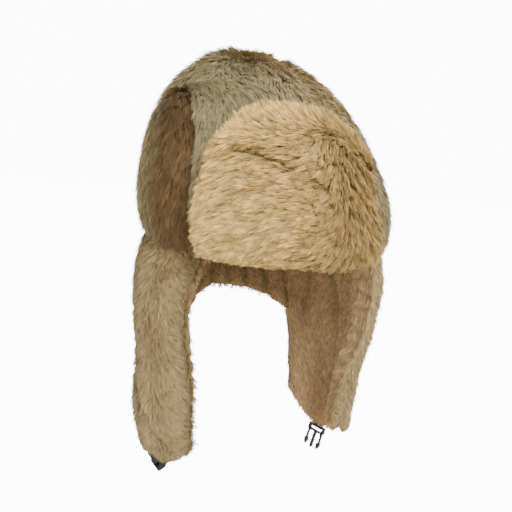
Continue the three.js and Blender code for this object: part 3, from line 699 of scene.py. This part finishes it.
def wall_skin(inset, quilted):
    angle, rise_at = np.meshgrid(
        np.linspace(0, 360, wall_columns, endpoint=False), np.linspace(0, 1, wall_rings + 1)
    )
    puff = np.sin(np.radians(angle) * quilt_gores / 2) * np.sin(rise_at * quilt_rings * math.pi)
    drawn_in = quilt_depth * (1 - np.sqrt(np.abs(puff))) * quilted
    skin = crown_cloth(angle, rise_at, inset) + crown_facing(angle, rise_at) * drawn_in[..., None]
    skin[..., 2] = np.maximum(skin[..., 2], rim_gap)
    skin[-1, :, 1] = skin[-1, 0, 1]
    return skin


outer_skin, inner_skin = wall_skin(wall_from, 0), wall_skin(wall_to, 1)
ring = np.arange(outer_skin[..., 0].size).reshape(wall_rings + 1, wall_columns)
next_on, inner = np.roll(ring, -1, axis=1), ring.size
outer = np.stack([ring[:-1], next_on[:-1], next_on[1:], ring[1:]], -1).reshape(-1, 4)
rim = np.stack([ring[0], inner + ring[0], inner + next_on[0], next_on[0]], -1)
crown_wall = mesh_piece(
    "crown_quilting",
    np.concatenate([outer_skin.reshape(-1, 3), inner_skin.reshape(-1, 3)]),
    [outer, inner + outer[:, [0, 3, 2, 1]], rim],
)

# Plain weave, for cloth and webbing: threads cross in turns, as a height.
weave, given, result = new_group(
    "plain_weave", [("Vector", "Vector"), ("Threads", "Float")], [("Height", "Float")]
)
spacing = {0: given["Vector"], "Scale": given["Threads"]}
scaled = node(weave, "VectorMath", spacing, operation="SCALE")
axes = node(weave, "SeparateXYZ", {0: scaled.outputs["Vector"]}).outputs
x_wave, y_wave, z_wave = (
    node(weave, "Math", {0: axes[axis]}, operation="SINE").outputs[0] for axis in "XYZ"
)
crossed = node(weave, "Math", {0: x_wave, 1: z_wave}, operation="MULTIPLY").outputs[0]
woven = node(weave, "Math", {0: y_wave, 1: 0.5, 2: crossed}, operation="MULTIPLY_ADD")
feed(result, {"Height": woven.outputs[0]})


def woven_material(name, dark, light, threads_per_metre, roughness):
    made, tree, shader = new_material(name, roughness)
    where = node(tree, "TexCoord").outputs["Object"]
    turns = threads_per_metre * 2 * math.pi
    cloth = node(tree, "Group", {"Vector": where, "Threads": turns}, node_tree=weave)
    threads = cloth.outputs["Height"]
    shades = ramp(tree, mapped(tree, threads, low=-1.0), (0.2, dark), (0.8, light))
    feed(shader, {"Base Color": shades, "Normal": bumped(tree, threads, 0.5, 0.0003)})
    return made


quilt_cloth = woven_material("quilt_cloth", (0.30, 0.21, 0.12), (0.44, 0.32, 0.19), 700, 0.9)
dressed(crown_wall, quilt_cloth, "crown_wall")

# The front flap
# A padded flap, two layers of plush sewn round the edge, folded up against the crown. Its face
# is brushed sideways and has one short crease, and its top and side edges stand in a pale fringe.
flap_plush = plush_material(
    "flap_plush",
    (0.22, 0.15, 0.08),
    (0.53, 0.35, 0.125),
    (0.87, 0.60, 0.20),
    (0.59, 0.57, 0.58),
    tones=(0.44, 1.5),
)
flap_size = {"wide": 165, "tall": 100}
crease_from, crease_to = (0.18, 0.78), (0.74, 0.44)


def flap_reach(away):
    return flap_top - flap_shoulder * np.abs(away) ** 3


def flap_angle(away, v):
    up = np.clip(v, 0, 1)
    tuck = flap_tuck * np.maximum(0, away) * 4 * up * (1 - up)
    return flap_centre + away * flap_half * (1 - flap_taper * up**3) - tuck


def beside_crown(angle, z, out):
    a = np.radians(angle)
    share = np.clip(z / crown_height, 0, 1) ** (1 / wall_power(angle))
    cloth = crown_cloth(angle, 2 / math.pi * np.arcsin(share))
    cloth[..., 2] = z
    away = unit(xyz(np.cos(a) / rim_half_width, np.sin(a) / rim_half_length, 0))
    return cloth + away * out[..., None]


def flap_stand(z):
    return 9 + 5.5 * smooth(z, -2, 20) + 8 * (np.clip(z, 0, 120) / flap_top) ** 2


def flap_cloth(gap):
    def cloth(u, v):
        away = 2 * u - 1
        z = lerp(flap_bottom, flap_reach(away), v)
        return beside_crown(flap_angle(away, v), z, flap_stand(z) + gap)

    return cloth


def from_sides(u, v, size):
    return np.minimum(np.minimum(u, 1 - u) * size["wide"], (1 - v) * size["tall"])


def from_edges(u, v, size):
    return np.minimum(from_sides(u, v, size), v * size["tall"])


def overhang(side, end, start=0.0, held=lambda u, v: 0):
    """Lets pile hang over the cloth's edges, by shares of the flap, except where it is held."""

    def over(u, v):
        left, right = 1 - smooth(u, 0, 0.16), smooth(u, 0.84, 1)
        out_to = side * (right - left) * (1 - held(u, v))
        return u + out_to, v + end * smooth(v, 0.84, 1) - start * (1 - smooth(v, 0, 0.1))

    return over


def rolled(low_side, high_side, end, held=lambda u, v: 0, width=0.1):
    """How far the pile turns outwards at the free edges: at u 0, at u 1 and past the end."""

    def roll(u, v):
        low, high = 1 - smooth(u, 0, width), smooth(u, 1 - width, 1)
        across = (high * high_side - low * low_side) * (1 - held(u, v))
        return across, smooth(v, 1 - width, 1) * end

    return roll


def near_line(u, v, start, stop, size, width):
    """How near a place is to a line over the cloth, 0 to 1, and its share of the way along."""
    du, dv = stop[0] - start[0], stop[1] - start[1]
    share = np.clip(((u - start[0]) * du + (v - start[1]) * dv) / (du * du + dv * dv), 0, 1)
    off_u = (u - start[0] - share * du) * size["wide"]
    off_v = (v - start[1] - share * dv) * size["tall"]
    return np.exp(-((np.hypot(off_u, off_v) / width) ** 2)), share


def crease(u, v):
    near, share = near_line(u, v, crease_from, crease_to, flap_size, 2.6)
    return near * lerp(1, 0.15, share)


def curls(u, v):
    """Short upright waves in the pile, 0 to 1, about 9 mm apart."""
    return 0.5 + 0.5 * np.sin(62 * v + 3 * np.sin(23 * u) + 1.5 * np.sin(11 * v + 17 * u))


def flap_nap(u, v):
    to_right = smooth(u, 0.45, 0.85)
    down = lerp(195, 262, to_right) + 9 * np.sin(7 * u + 3 * v)
    turn = np.radians(lerp(down, lerp(115, 85, to_right), smooth(v, 0.78, 0.97)))
    strength = lerp(0.9, 1.0, to_right) * (1 - 0.5 * smooth(u, 0.9, 1))
    return strength * np.cos(turn), strength * np.sin(turn)


plush(
    "front_flap_face",
    flap_plush,
    flap_cloth(0.15),
    height=lambda u, v: (fur + 0.5)
    * lerp(0.27, 1, clear_of_seam(from_edges(u, v, flap_size), 15))
    * (1 - 0.6 * crease(u, v))
    * (1 - 0.16 * curls(u, v) * smooth(u, 0.6, 0.75) * (1 - smooth(v, 0.75, 0.9))),
    nap=flap_nap,
    fibres=86000,
    grain=(76, 48),
    seed=21,
    over=overhang(0.0, 0.01, 0.035),
    roll=rolled(1, 1, 1, width=0.08),
    shag=lambda u, v: 1 + 0.15 * smooth(v, 0.86, 1) * (1 - smooth(u, 0.7, 1)),
    # The top and left edges' fringe is paler fur. The left half is painted lighter as painted
    # light, and painted shade greys the right part and greys and darkens the crease.
    pale_and_painted_light=lambda u, v: np.maximum(smooth(v, 0.82, 0.97), 1 - smooth(u, 0.02, 0.12))
    + 0.35 * (1 - smooth(u, 0.05, 0.5))
    - 1.3 * crease(u, v),
    grey_and_painted_shade=lambda u, v: 1.05 * smooth(u, 0.45, 0.8) + crease(u, v),
    dense=lambda u, v: 1 + 0.8 * smooth(u, 0.6, 0.8) + 0.5 * smooth(v, 0.75, 0.9),
    lean=0.85,
    lock=2.3,
    tufted=(0.3, 0.8),
)

lumped, rear_gap = 1.14, 2.6


def rear_height(u, v):
    z = lerp(flap_bottom, flap_reach(2 * u - 1), v)
    room = flap_stand(z) - lumped * pressed_fur * near_rim(z) - rear_gap
    return room / lumped * lerp(0.5, 1, clear_of_seam(from_edges(u, v, flap_size), 15))


plush(
    "front_flap_back",
    flap_plush,
    flap_cloth(-0.9),
    height=rear_height,
    nap=lambda u, v: (-0.5 + 0 * u, -0.3 + 0 * v),
    fibres=6000,
    grain=(36, 22),
    seed=22,
    over=overhang(0.0, 0.01),
    roll=rolled(1, 1, 1, width=0.08),
    side=-1,
)

# The ear flaps
# Each is two shaped layers of plush sewn round the edge, hanging from the rim seam. Outside,
# the nap runs down and parts along the front edge in a herringbone. The lining is shorter and
# has soft furrows where the padding is caught. The sections are level cuts through the cloth.
section = "drop front_x front_y back_x back_y bow full"
ear_left = table(
    section,
    (0, 80, -62, 61, 89, 23.5, 2),
    (35, 92, -57, 67, 85, 25, 2),
    (68, 94, -51, 73, 79, 25, 2),
    (100, 91, -46, 77, 72, 25, 2),
    (130, 88, -38, 80, 65, 27, 2),
    (165, 88, -31, 79, 57, 31, 2),
    (210, 88, -26, 78, 46, 30, 2),
)
ear_right = table(
    section,
    (0, 80, -62, 61, 89, 23.5, 2),
    (35, 90, -57, 63, 85, 25, 2.2),
    (70, 90, -51, 59, 79, 27, 2.6),
    (103, 84, -46, 54, 72, 30, 3),
    (135, 79, -38, 52, 66, 34, 3.2),
    (170, 76, -31, 54, 60, 35, 3.2),
    (216, 75, -26, 56, 48, 26, 2.6),
)
ear_edge = table(
    "across left right",
    (0, 189, 170),
    (0.12, 211, 181),
    (0.3, 217, 191),
    (0.5, 215, 202),
    (0.7, 211, 213),
    (0.88, 203, 211),
    (1, 184, 192),
)
ear_furrows = table(
    "across slant sway width depth to",
    (0.36, 0, 0.2, 0.05, 4.5, 0.95),
    (0.28, -0.35, 0, 0.05, 2.5, 0.6),
    (0.72, 0, 0, 0.06, 2, 0.7),
)
fold_from, fold_to = (0.45, 0.5), (0.92, 0.9)
ear_size = {"wide": 135, "tall": 195}
ear_plush = plush_material(
    "ear_plush",
    (0.20, 0.135, 0.065),
    (0.41, 0.29, 0.138),
    (0.58, 0.425, 0.21),
    (0.66, 0.74, 0.80),
)
lining_plush = plush_material(
    "lining_plush",
    (0.38, 0.24, 0.105),
    (0.68, 0.47, 0.24),
    (0.78, 0.56, 0.31),
    (0.62, 0.66, 0.62),
    tones=(0.8, 1.2),
)


def ear_cloth(hand, gap):
    sections, side = (ear_right, "right") if hand < 0 else (ear_left, "left")

    def cloth(u, v):
        drop = lerp(rim_gap, along(ear_edge, "across", side, u), v)
        front_x, front_y, back_x, back_y, bow, full = (
            along(sections, "drop", column, drop)
            for column in ("front_x", "front_y", "back_x", "back_y", "bow", "full")
        )
        square = np.where(u < 0.5, full, 2)
        push = bow * (1 - np.abs(2 * u - 1) ** square) + gap
        chord_x, chord_y = front_y - back_y, back_x - front_x
        long = np.hypot(chord_x, chord_y)
        x = lerp(back_x, front_x, u) - push * chord_x / long
        y = lerp(back_y, front_y, u) - push * chord_y / long
        return xyz(hand * x, y, -drop)

    return cloth


def below_rim(p):
    return xyz(p[..., 0], p[..., 1], np.minimum(p[..., 2], -0.15))


def sewn_to_band(u, v):
    return (1 - smooth(u, 0.1, 0.3)) * (1 - smooth(v, 0.46, 0.58))


def lining_furrow(u, v):
    total = 0
    for row in ear_furrows:
        swayed = row["sway"] * np.sin(math.pi * np.clip(v, 0, 1)) ** 1.5
        away = u - row["across"] - row["slant"] * v - swayed
        ends = 1 - smooth(v, row["to"] - 0.2, row["to"])
        total = total + row["depth"] * np.exp(-((away / row["width"]) ** 2)) * ends
    return total


def ear_fold(u, v):
    return near_line(u, v, fold_from, fold_to, ear_size, 4)[0]


def shade_behind_fold(u, v):
    """The outer side's rear, greyed as painted shade, and darker still below its slanting fold, as
    painted shade under the fold.
    """
    share = (v - fold_from[1]) / (fold_to[1] - fold_from[1])
    folded = 1 - smooth(u - lerp(fold_from[0], fold_to[0], share), -0.04, 0.03)
    return 0.7 * (1 - smooth(u, 0.5, 0.8)) + 0.3 * folded * smooth(v, 0.4, 0.55)


def front_strip(u, v):
    return 1 + 2.5 * smooth(u, 0.86, 0.94) + smooth(v, 0.88, 0.96)


# Painted shade along the front edge's parting, where the pile's roots lie in shadow.
def front_seam_shade(u, v):
    return smooth(u, 0.965, 0.99) + 0 * v


def at_hem(v):
    """The pile leans less at the lower edge, where it turns round the seam."""
    return 1 - 0.5 * smooth(v, 0.86, 0.97)


def ear_nap(u, v):
    """Down, slanting to the front seam near it, and standing up more at the very edge."""
    parting = smooth(u, 0.74, 0.9)
    at_edge = 1 - 0.45 * smooth(u, 0.88, 1)
    along_u = lerp(0.4 * (0.5 - u), 0.5, parting)
    return along_u * at_edge, (0.8 - 0.15 * parting) * at_edge * at_hem(v)


def rear_bulge(u, v):
    """The lining bulges along its rear edge, from where it is sewn to the neck band down."""
    return np.exp(-((u / 0.24) ** 2)) * smooth(v, 0.28, 0.42) * (1 - smooth(v, 0.85, 1))


def hanging_over(u, v):
    """The pile hangs a little past the edges, and furthest at the front corner's foot."""
    u_at, v_at = overhang(0.01, 0.01, held=sewn_to_band)(u, v)
    drawn_up = 0.06 * np.exp(-(((u - 0.78) / 0.12) ** 2))
    return u_at, v_at + (0.03 * smooth(u, 0.9, 0.99) - drawn_up) * smooth(v, 0.8, 1)


def lining_edge(u, v):
    edge = np.minimum(u * ear_size["wide"], (1 - v) * ear_size["tall"])
    return np.maximum(clear_of_seam(edge, 12), sewn_to_band(u, v))


for hand, word, outer_fibres, lining_fibres in (
    (-1, "right", 54000, 24000),
    (1, "left", 26000, 40000),
):
    over = hanging_over if hand < 0 else overhang(0.01, 0.01, held=sewn_to_band)
    plush(
        f"ear_flap_{word}_outer",
        ear_plush,
        ear_cloth(hand, 0.15),
        height=lambda u, v: fur
        * lerp(0.5 if hand < 0 else 0.36, 1, clear_of_seam(from_sides(u, v, ear_size), 9))
        * near_rim(v * ear_size["tall"])
        * (1 - 0.3 * ear_fold(u, v)),
        nap=ear_nap if hand < 0 else lambda u, v: (0.2 * (0.5 - u), 0.85 * at_hem(v)),
        fibres=outer_fibres,
        grain=(44, 64),
        seed=31 + hand,
        over=over,
        roll=rolled(1, 1, 0.5, held=sewn_to_band),
        dense=front_strip,
        # On the right flap, painted shade greys the rear and the front seam's parting, the parting
        # is painted darker still, and the fur is paler towards the front.
        grey_and_painted_shade=lambda u, v: shade_behind_fold(u, v) + 0.8 * front_seam_shade(u, v) if hand < 0 else 0 * u,
        shag=lambda u, v: 1 - 0.15 * smooth(v, 0.85, 0.95),
        pale_and_painted_light=lambda u, v: smooth(u, 0.6, 0.85) - front_seam_shade(u, v) if hand < 0 else 0.1 + 0 * u,
        lock=2.8,
        tufted=(0.2, 0.65),
        keep=below_rim,
        side=hand,
    )
    plush(
        f"ear_flap_{word}_lining",
        lining_plush,
        ear_cloth(hand, -0.15),
        height=lambda u, v: (short_fur - lining_furrow(u, v))
        * lerp(0.65, 1, lining_edge(u, v))
        * (1 + (0.55 - 0.25 * hand) * rear_bulge(u, v))
        * (1 + (0.3 - 0.1 * hand) * smooth(u, 0.85, 0.97))
        * (1 - 0.2 * curls(2 * v, u) * smooth(u, 0.62, 0.74)),
        nap=lambda u, v: (
            lerp(0.5 * (0.5 - u), 0.2, smooth(u, 0.8, 0.95)),
            (0.75 - (0.2 - 0.2 * hand) * smooth(u, 0.85, 1)) * at_hem(v),
        ),
        fibres=lining_fibres,
        grain=(44, 64),
        seed=41 + hand,
        over=over,
        roll=rolled(0.5 + 0.5 * hand, 1, 0.5, held=sewn_to_band),
        dense=front_strip,
        # Painted shade greys the furrows and the front seam's parting, and darkens the lining
        # towards its front edge and at the parting.
        grey_and_painted_shade=lambda u, v: 0.18 * lining_furrow(u, v) + 0.8 * front_seam_shade(u, v),
        pale_and_painted_light=lambda u, v: -0.15 * smooth(u, 0.6, 0.9) - 0.7 * front_seam_shade(u, v),
        keep=below_rim,
        side=-hand,
        lock=3,
        tufted=(0.2, 0.6),
    )

# The neck band
# A narrow band of two plush layers joins the ear flaps behind the neck. A hidden elastic
# gathers it, so its lining stands in upright pleats.
band_edge = table(
    "across drop", (0, 97), (0.1, 86), (0.29, 71), (0.5, 71), (0.75, 77), (0.91, 87), (1, 97)
)
nape = table("drop y", (0, 116), (40, 113), (75, 107), (110, 100))
gathers, gather_depth, band_gap = 6, 3.2, 0.4
band_size = {"wide": 130, "tall": 80}


def band_cloth(gap):
    def cloth(u, v):
        drop = lerp(rim_gap, along(band_edge, "across", "drop", np.clip(u, 0, 1)), v)
        left_x, left_y, right_x, right_y = (
            along(rows, "drop", column, drop)
            for rows in (ear_left, ear_right)
            for column in ("back_x", "back_y")
        )
        x = lerp(band_gap - right_x, left_x - band_gap, u)
        back = lerp(lerp(right_y, left_y, u), along(nape, "drop", "y", drop), 1 - (2 * u - 1) ** 2)
        return xyz(x, back + gap, -drop)

    return cloth


def band_seams(u, v):
    ends = clear_of_seam(np.minimum(u, 1 - u) * band_size["wide"], 12)
    return ends * clear_of_seam(v * band_size["tall"], 14)


def band_hem(v):
    return clear_of_seam((1 - v) * band_size["tall"], 14)


def pleat(u):
    """The gathers' narrow valleys, from -1 on a pleat's crown to 1 in the valley."""
    return 2 * (0.5 + 0.5 * np.cos(2 * math.pi * gathers * u)) ** 3 - 1


plush(
    "neck_band_outer",
    ear_plush,
    band_cloth(0.15),
    height=lambda u, v: (fur - 0.5) * lerp(0.5, 1, band_seams(u, v) * band_hem(v)),
    nap=lambda u, v: (0 * u, 0.8 + 0 * v),
    fibres=11000,
    grain=(48, 24),
    seed=51,
    over=overhang(0, 0.02),
    roll=rolled(0, 0, 0.6, width=0.14),
    keep=below_rim,
    grey_and_painted_shade=lambda u, v: 0.3 + 0 * u,
)
plush(
    "neck_band_lining",
    lining_plush,
    band_cloth(-0.15),
    height=lambda u, v: (short_fur - 2 - gather_depth * pleat(u)) * lerp(0.5, 1, band_hem(v)),
    nap=lambda u, v: (0 * u, 0.7 - 0.5 * smooth(v, 0.7, 1)),
    fibres=16000,
    grain=(72, 24),
    seed=52,
    over=overhang(0, 0.02),
    roll=rolled(0, 0, 0.6, width=0.14),
    keep=below_rim,
    # The lining is greyed evenly, and painted shade greys the pleats' valleys more than their
    # crowns.
    grey_and_painted_shade=lambda u, v: 0.4 + 0.4 * pleat(u),
    shag=lambda u, v: 1 - 0.2 * smooth(v, 0.8, 0.95),
    dense=lambda u, v: 1 + smooth(v, 0.85, 0.95),
    lock=3,
    side=-1,
)

# The straps
# A short loop of black 12 mm webbing leaves each ear flap's lower edge, doubled and sewn, and
# passes round the bar of its buckle half.
buckle_width, buckle_thick, plug_length = 20.4, 4.4, 26.5
socket_length, socket_thick, mouth_thick = 22, 7.4, 4.6
bar, slot_long, slot_wide, gap = 1.9, 15, 4.2, 0.3
strap_wide, strap_thick, bend, sewn_in = 12.5, 0.9, 4.5, 9
frame_deep = 2 * bar + slot_wide
plug_place = {"hand": 1, "across": 0.25, "out": 9.4, "swing": 10.8, "tilt": -15.7, "twist": -19.5}
socket_place = {"hand": -1, "across": 0.4, "out": 26.5, "swing": -15, "tilt": 37, "twist": -17}


def hanging(place):
    """Where a buckle half hangs, in millimetres: +Y to its strap, Z through its thickness."""
    cloth = ear_cloth(place["hand"], 0.0)
    foot, ahead, behind = (
        Vector(cloth(np.float64(place["across"] + step), np.float64(1))) for step in (0, 0.1, -0.1)
    )
    forward = ahead - behind
    forward.z = 0
    forward.normalize()
    up = Vector((0, 0, 1))
    through = forward.cross(up)
    foot.z -= place["out"]
    foot -= through * bend * math.sin(math.radians(place["tilt"]))
    made = Matrix((forward, up, through)).transposed().to_4x4()
    made.translation = foot
    for axis, angle in (("Z", -place["swing"]), ("X", place["tilt"]), ("Y", place["twist"])):
        made = made @ Matrix.Rotation(math.radians(angle), 4, axis)
    return made


def strap_line(place):
    """The webbing's middle line, in the plane of Y and Z: down one ply, round the bar and up."""
    wide = buckle_thick / 2 + gap + strap_thick / 2
    low = -bar - gap - strap_thick / 2
    turn = math.radians(place["tilt"])
    length = place["out"] + sewn_in - bend
    half = strap_thick / 2

    def above(side, reach):
        return (
            bend - side * half * math.sin(turn) + reach * math.cos(turn),
            -side * half * math.cos(turn) - reach * math.sin(turn),
        )

    one_side = [above(1, length), above(1, length / 2), above(1, 0), (gap + 0.6, -wide)]
    under = [(low + 0.9, -wide), (low, 0.9 - wide), (low, wide - 0.9), (low + 0.9, wide)]
    other = [(gap + 0.6, wide), above(-1, 0), above(-1, length / 2), above(-1, length)]
    return one_side + under + other


def webbing(name, place, node_name, material):
    line = np.array(strap_line(place), float)
    for _ in range(2):
        cut = np.concatenate([lerp(line[:-1], line[1:], t)[:, None] for t in (0.25, 0.75)], 1)
        line = np.concatenate([line[:1], cut.reshape(-1, 2), line[-1:]])
    run = unit(np.gradient(line, axis=0))
    side = np.stack([-run[:, 1], run[:, 0]], -1)
    half = [(-1.0, 0.0), (-0.97, 0.38), (-0.9, 0.5), (0.9, 0.5), (0.97, 0.38)]
    profile = half + [(-x, -y) for x, y in half]
    across, through = np.array(profile).T[..., None]
    cut = line[:, None] + side[:, None] * through * strap_thick
    points = xyz(across[:, 0] * strap_wide / 2, cut[..., 0], cut[..., 1])
    matrix = np.array(hanging(place))
    points = points @ matrix[:3, :3].T + matrix[:3, 3]
    count, around = points.shape[:2]
    at = np.arange(count * around).reshape(count, around)
    after = np.roll(at, -1, axis=1)
    faces = np.stack([at[:-1], after[:-1], after[1:], at[1:]], -1).reshape(-1, 4)
    piece = mesh_piece(name, points.reshape(-1, 3), [faces, at[:1, ::-1], at[-1:]])
    dressed(piece, material, node_name)


black_webbing = woven_material(
    "black_webbing", (0.006, 0.007, 0.009), (0.03, 0.032, 0.037), 900, 0.8
)
webbing("strap_left_webbing", plug_place, "strap_left", black_webbing)
webbing("strap_right_webbing", socket_place, "strap_right", black_webbing)

# The buckle
# A small side-release buckle moulded in black plastic: the plug's frame carries a guide tongue
# between two springy barbed arms, and the socket is a shell with a mouth and side windows.
black_plastic, tree, shader = new_material("black_plastic", 0.38)
moulding = speckle(tree, 1500.0, 3.0)
feed(
    shader,
    {
        "Base Color": ramp(
            tree, moulding, (0.35, (0.007, 0.009, 0.014)), (0.7, (0.016, 0.019, 0.027))
        ),
        "Roughness": mapped(tree, moulding, to_low=0.3, to_high=0.5),
        "Normal": bumped(tree, moulding, 0.2, 0.0001),
    },
)


def rounded(half, low_y, high_y, corner):
    """A rectangle with round corners, as points in turn."""
    centres = [
        (half - corner, low_y + corner, -90),
        (half - corner, high_y - corner, 0),
        (corner - half, high_y - corner, 90),
        (corner - half, low_y + corner, 180),
    ]
    return [
        (x + corner * math.cos(math.radians(a)), y + corner * math.sin(math.radians(a)))
        for x, y, start in centres
        for a in np.linspace(start, start + 90, 5)
    ]


def plate(outline, thick):
    """A flat block from an outline, as an object in millimetres."""
    made = bpy.data.meshes.new("plate")
    block = bmesh.new()
    sheet = block.faces.new([block.verts.new((x, y, -thick / 2)) for x, y in outline])
    lifted = bmesh.ops.extrude_face_region(block, geom=[sheet])
    tops = [item for item in lifted["geom"] if isinstance(item, bmesh.types.BMVert)]
    bmesh.ops.translate(block, verts=tops, vec=(0, 0, thick))
    bmesh.ops.recalc_face_normals(block, faces=block.faces)
    block.to_mesh(made)
    block.free()
    return placed("plate", made)


def moulded(base, steps, bevel):
    """Joins blocks to base or cuts them from it, rounds the edges, and applies it all."""
    for piece, operation in steps:
        change = base.modifiers.new("join", "BOOLEAN")
        change.solver = "EXACT"
        change.operation = operation
        change.object = piece
    edges = base.modifiers.new("edges", "BEVEL")
    edges.width = bevel
    edges.segments = 3
    edges.limit_method = "ANGLE"
    edges.angle_limit = math.radians(32)
    edges.harden_normals = True
    bpy.context.view_layer.update()
    made = bpy.data.meshes.new_from_object(
        base.evaluated_get(bpy.context.evaluated_depsgraph_get())
    )
    base.modifiers.clear()
    base.data = made
    for piece, _ in steps:
        bpy.data.objects.remove(piece)
    return base


def hung(piece, name, place, node_name):
    piece.name = name
    piece.data.transform(Matrix.Scale(0.001, 4) @ hanging(place))
    piece.data.materials.clear()
    piece.data.shade_smooth()
    dressed(piece, black_plastic, node_name)


def frame_block():
    return plate(rounded(buckle_width / 2, -frame_deep, 0, 1.2), buckle_thick)


def slot_block():
    return plate(rounded(slot_long / 2, -bar - slot_wide, -bar, 0.8), 20)


tip = -plug_length
half_buckle = buckle_width / 2
foot = -frame_deep + 0.5
half_tongue = [(2, foot), (1.5, -frame_deep - 2), (1.5, tip + 1.2), (0.8, tip)]
tongue = [(-x, y) for x, y in half_tongue] + half_tongue[::-1]
arm = [
    (half_buckle - from_side, y)
    for from_side, y in (
        (1.3, foot), (3.4, foot), (2.6, -frame_deep - 3), (2.6, tip + 9),
        (4.4, tip + 7.4), (4.2, tip + 4.4), (2.6, tip + 1), (1.7, tip + 1.3),
        (0.2, tip + 4.6), (-0.2, tip + 7.6), (0.9, tip + 9),
    )
]
plug = moulded(
    frame_block(),
    [
        (slot_block(), "DIFFERENCE"),
        (plate(tongue, buckle_thick - 1.2), "UNION"),
        (plate(arm, buckle_thick - 0.6), "UNION"),
        (plate([(-x, y) for x, y in arm][::-1], buckle_thick - 0.6), "UNION"),
    ],
    0.28,
)
hung(plug, "buckle_plug_moulding", plug_place, "buckle_plug")
shell = rounded(half_buckle + 0.6, -socket_length, -frame_deep + 1, 2.2)
mouth = rounded(half_buckle - 1.1, -socket_length - 3, -frame_deep - 1, 0.6)
windows = rounded(buckle_width, -socket_length + 4.4, -socket_length + 9.4, 1)
socket = moulded(
    plate(shell, socket_thick),
    [
        (frame_block(), "UNION"),
        (slot_block(), "DIFFERENCE"),
        (plate(mouth, mouth_thick), "DIFFERENCE"),
        (plate(windows, mouth_thick), "DIFFERENCE"),
    ],
    0.35,
)
hung(socket, "buckle_socket_moulding", socket_place, "buckle_socket")
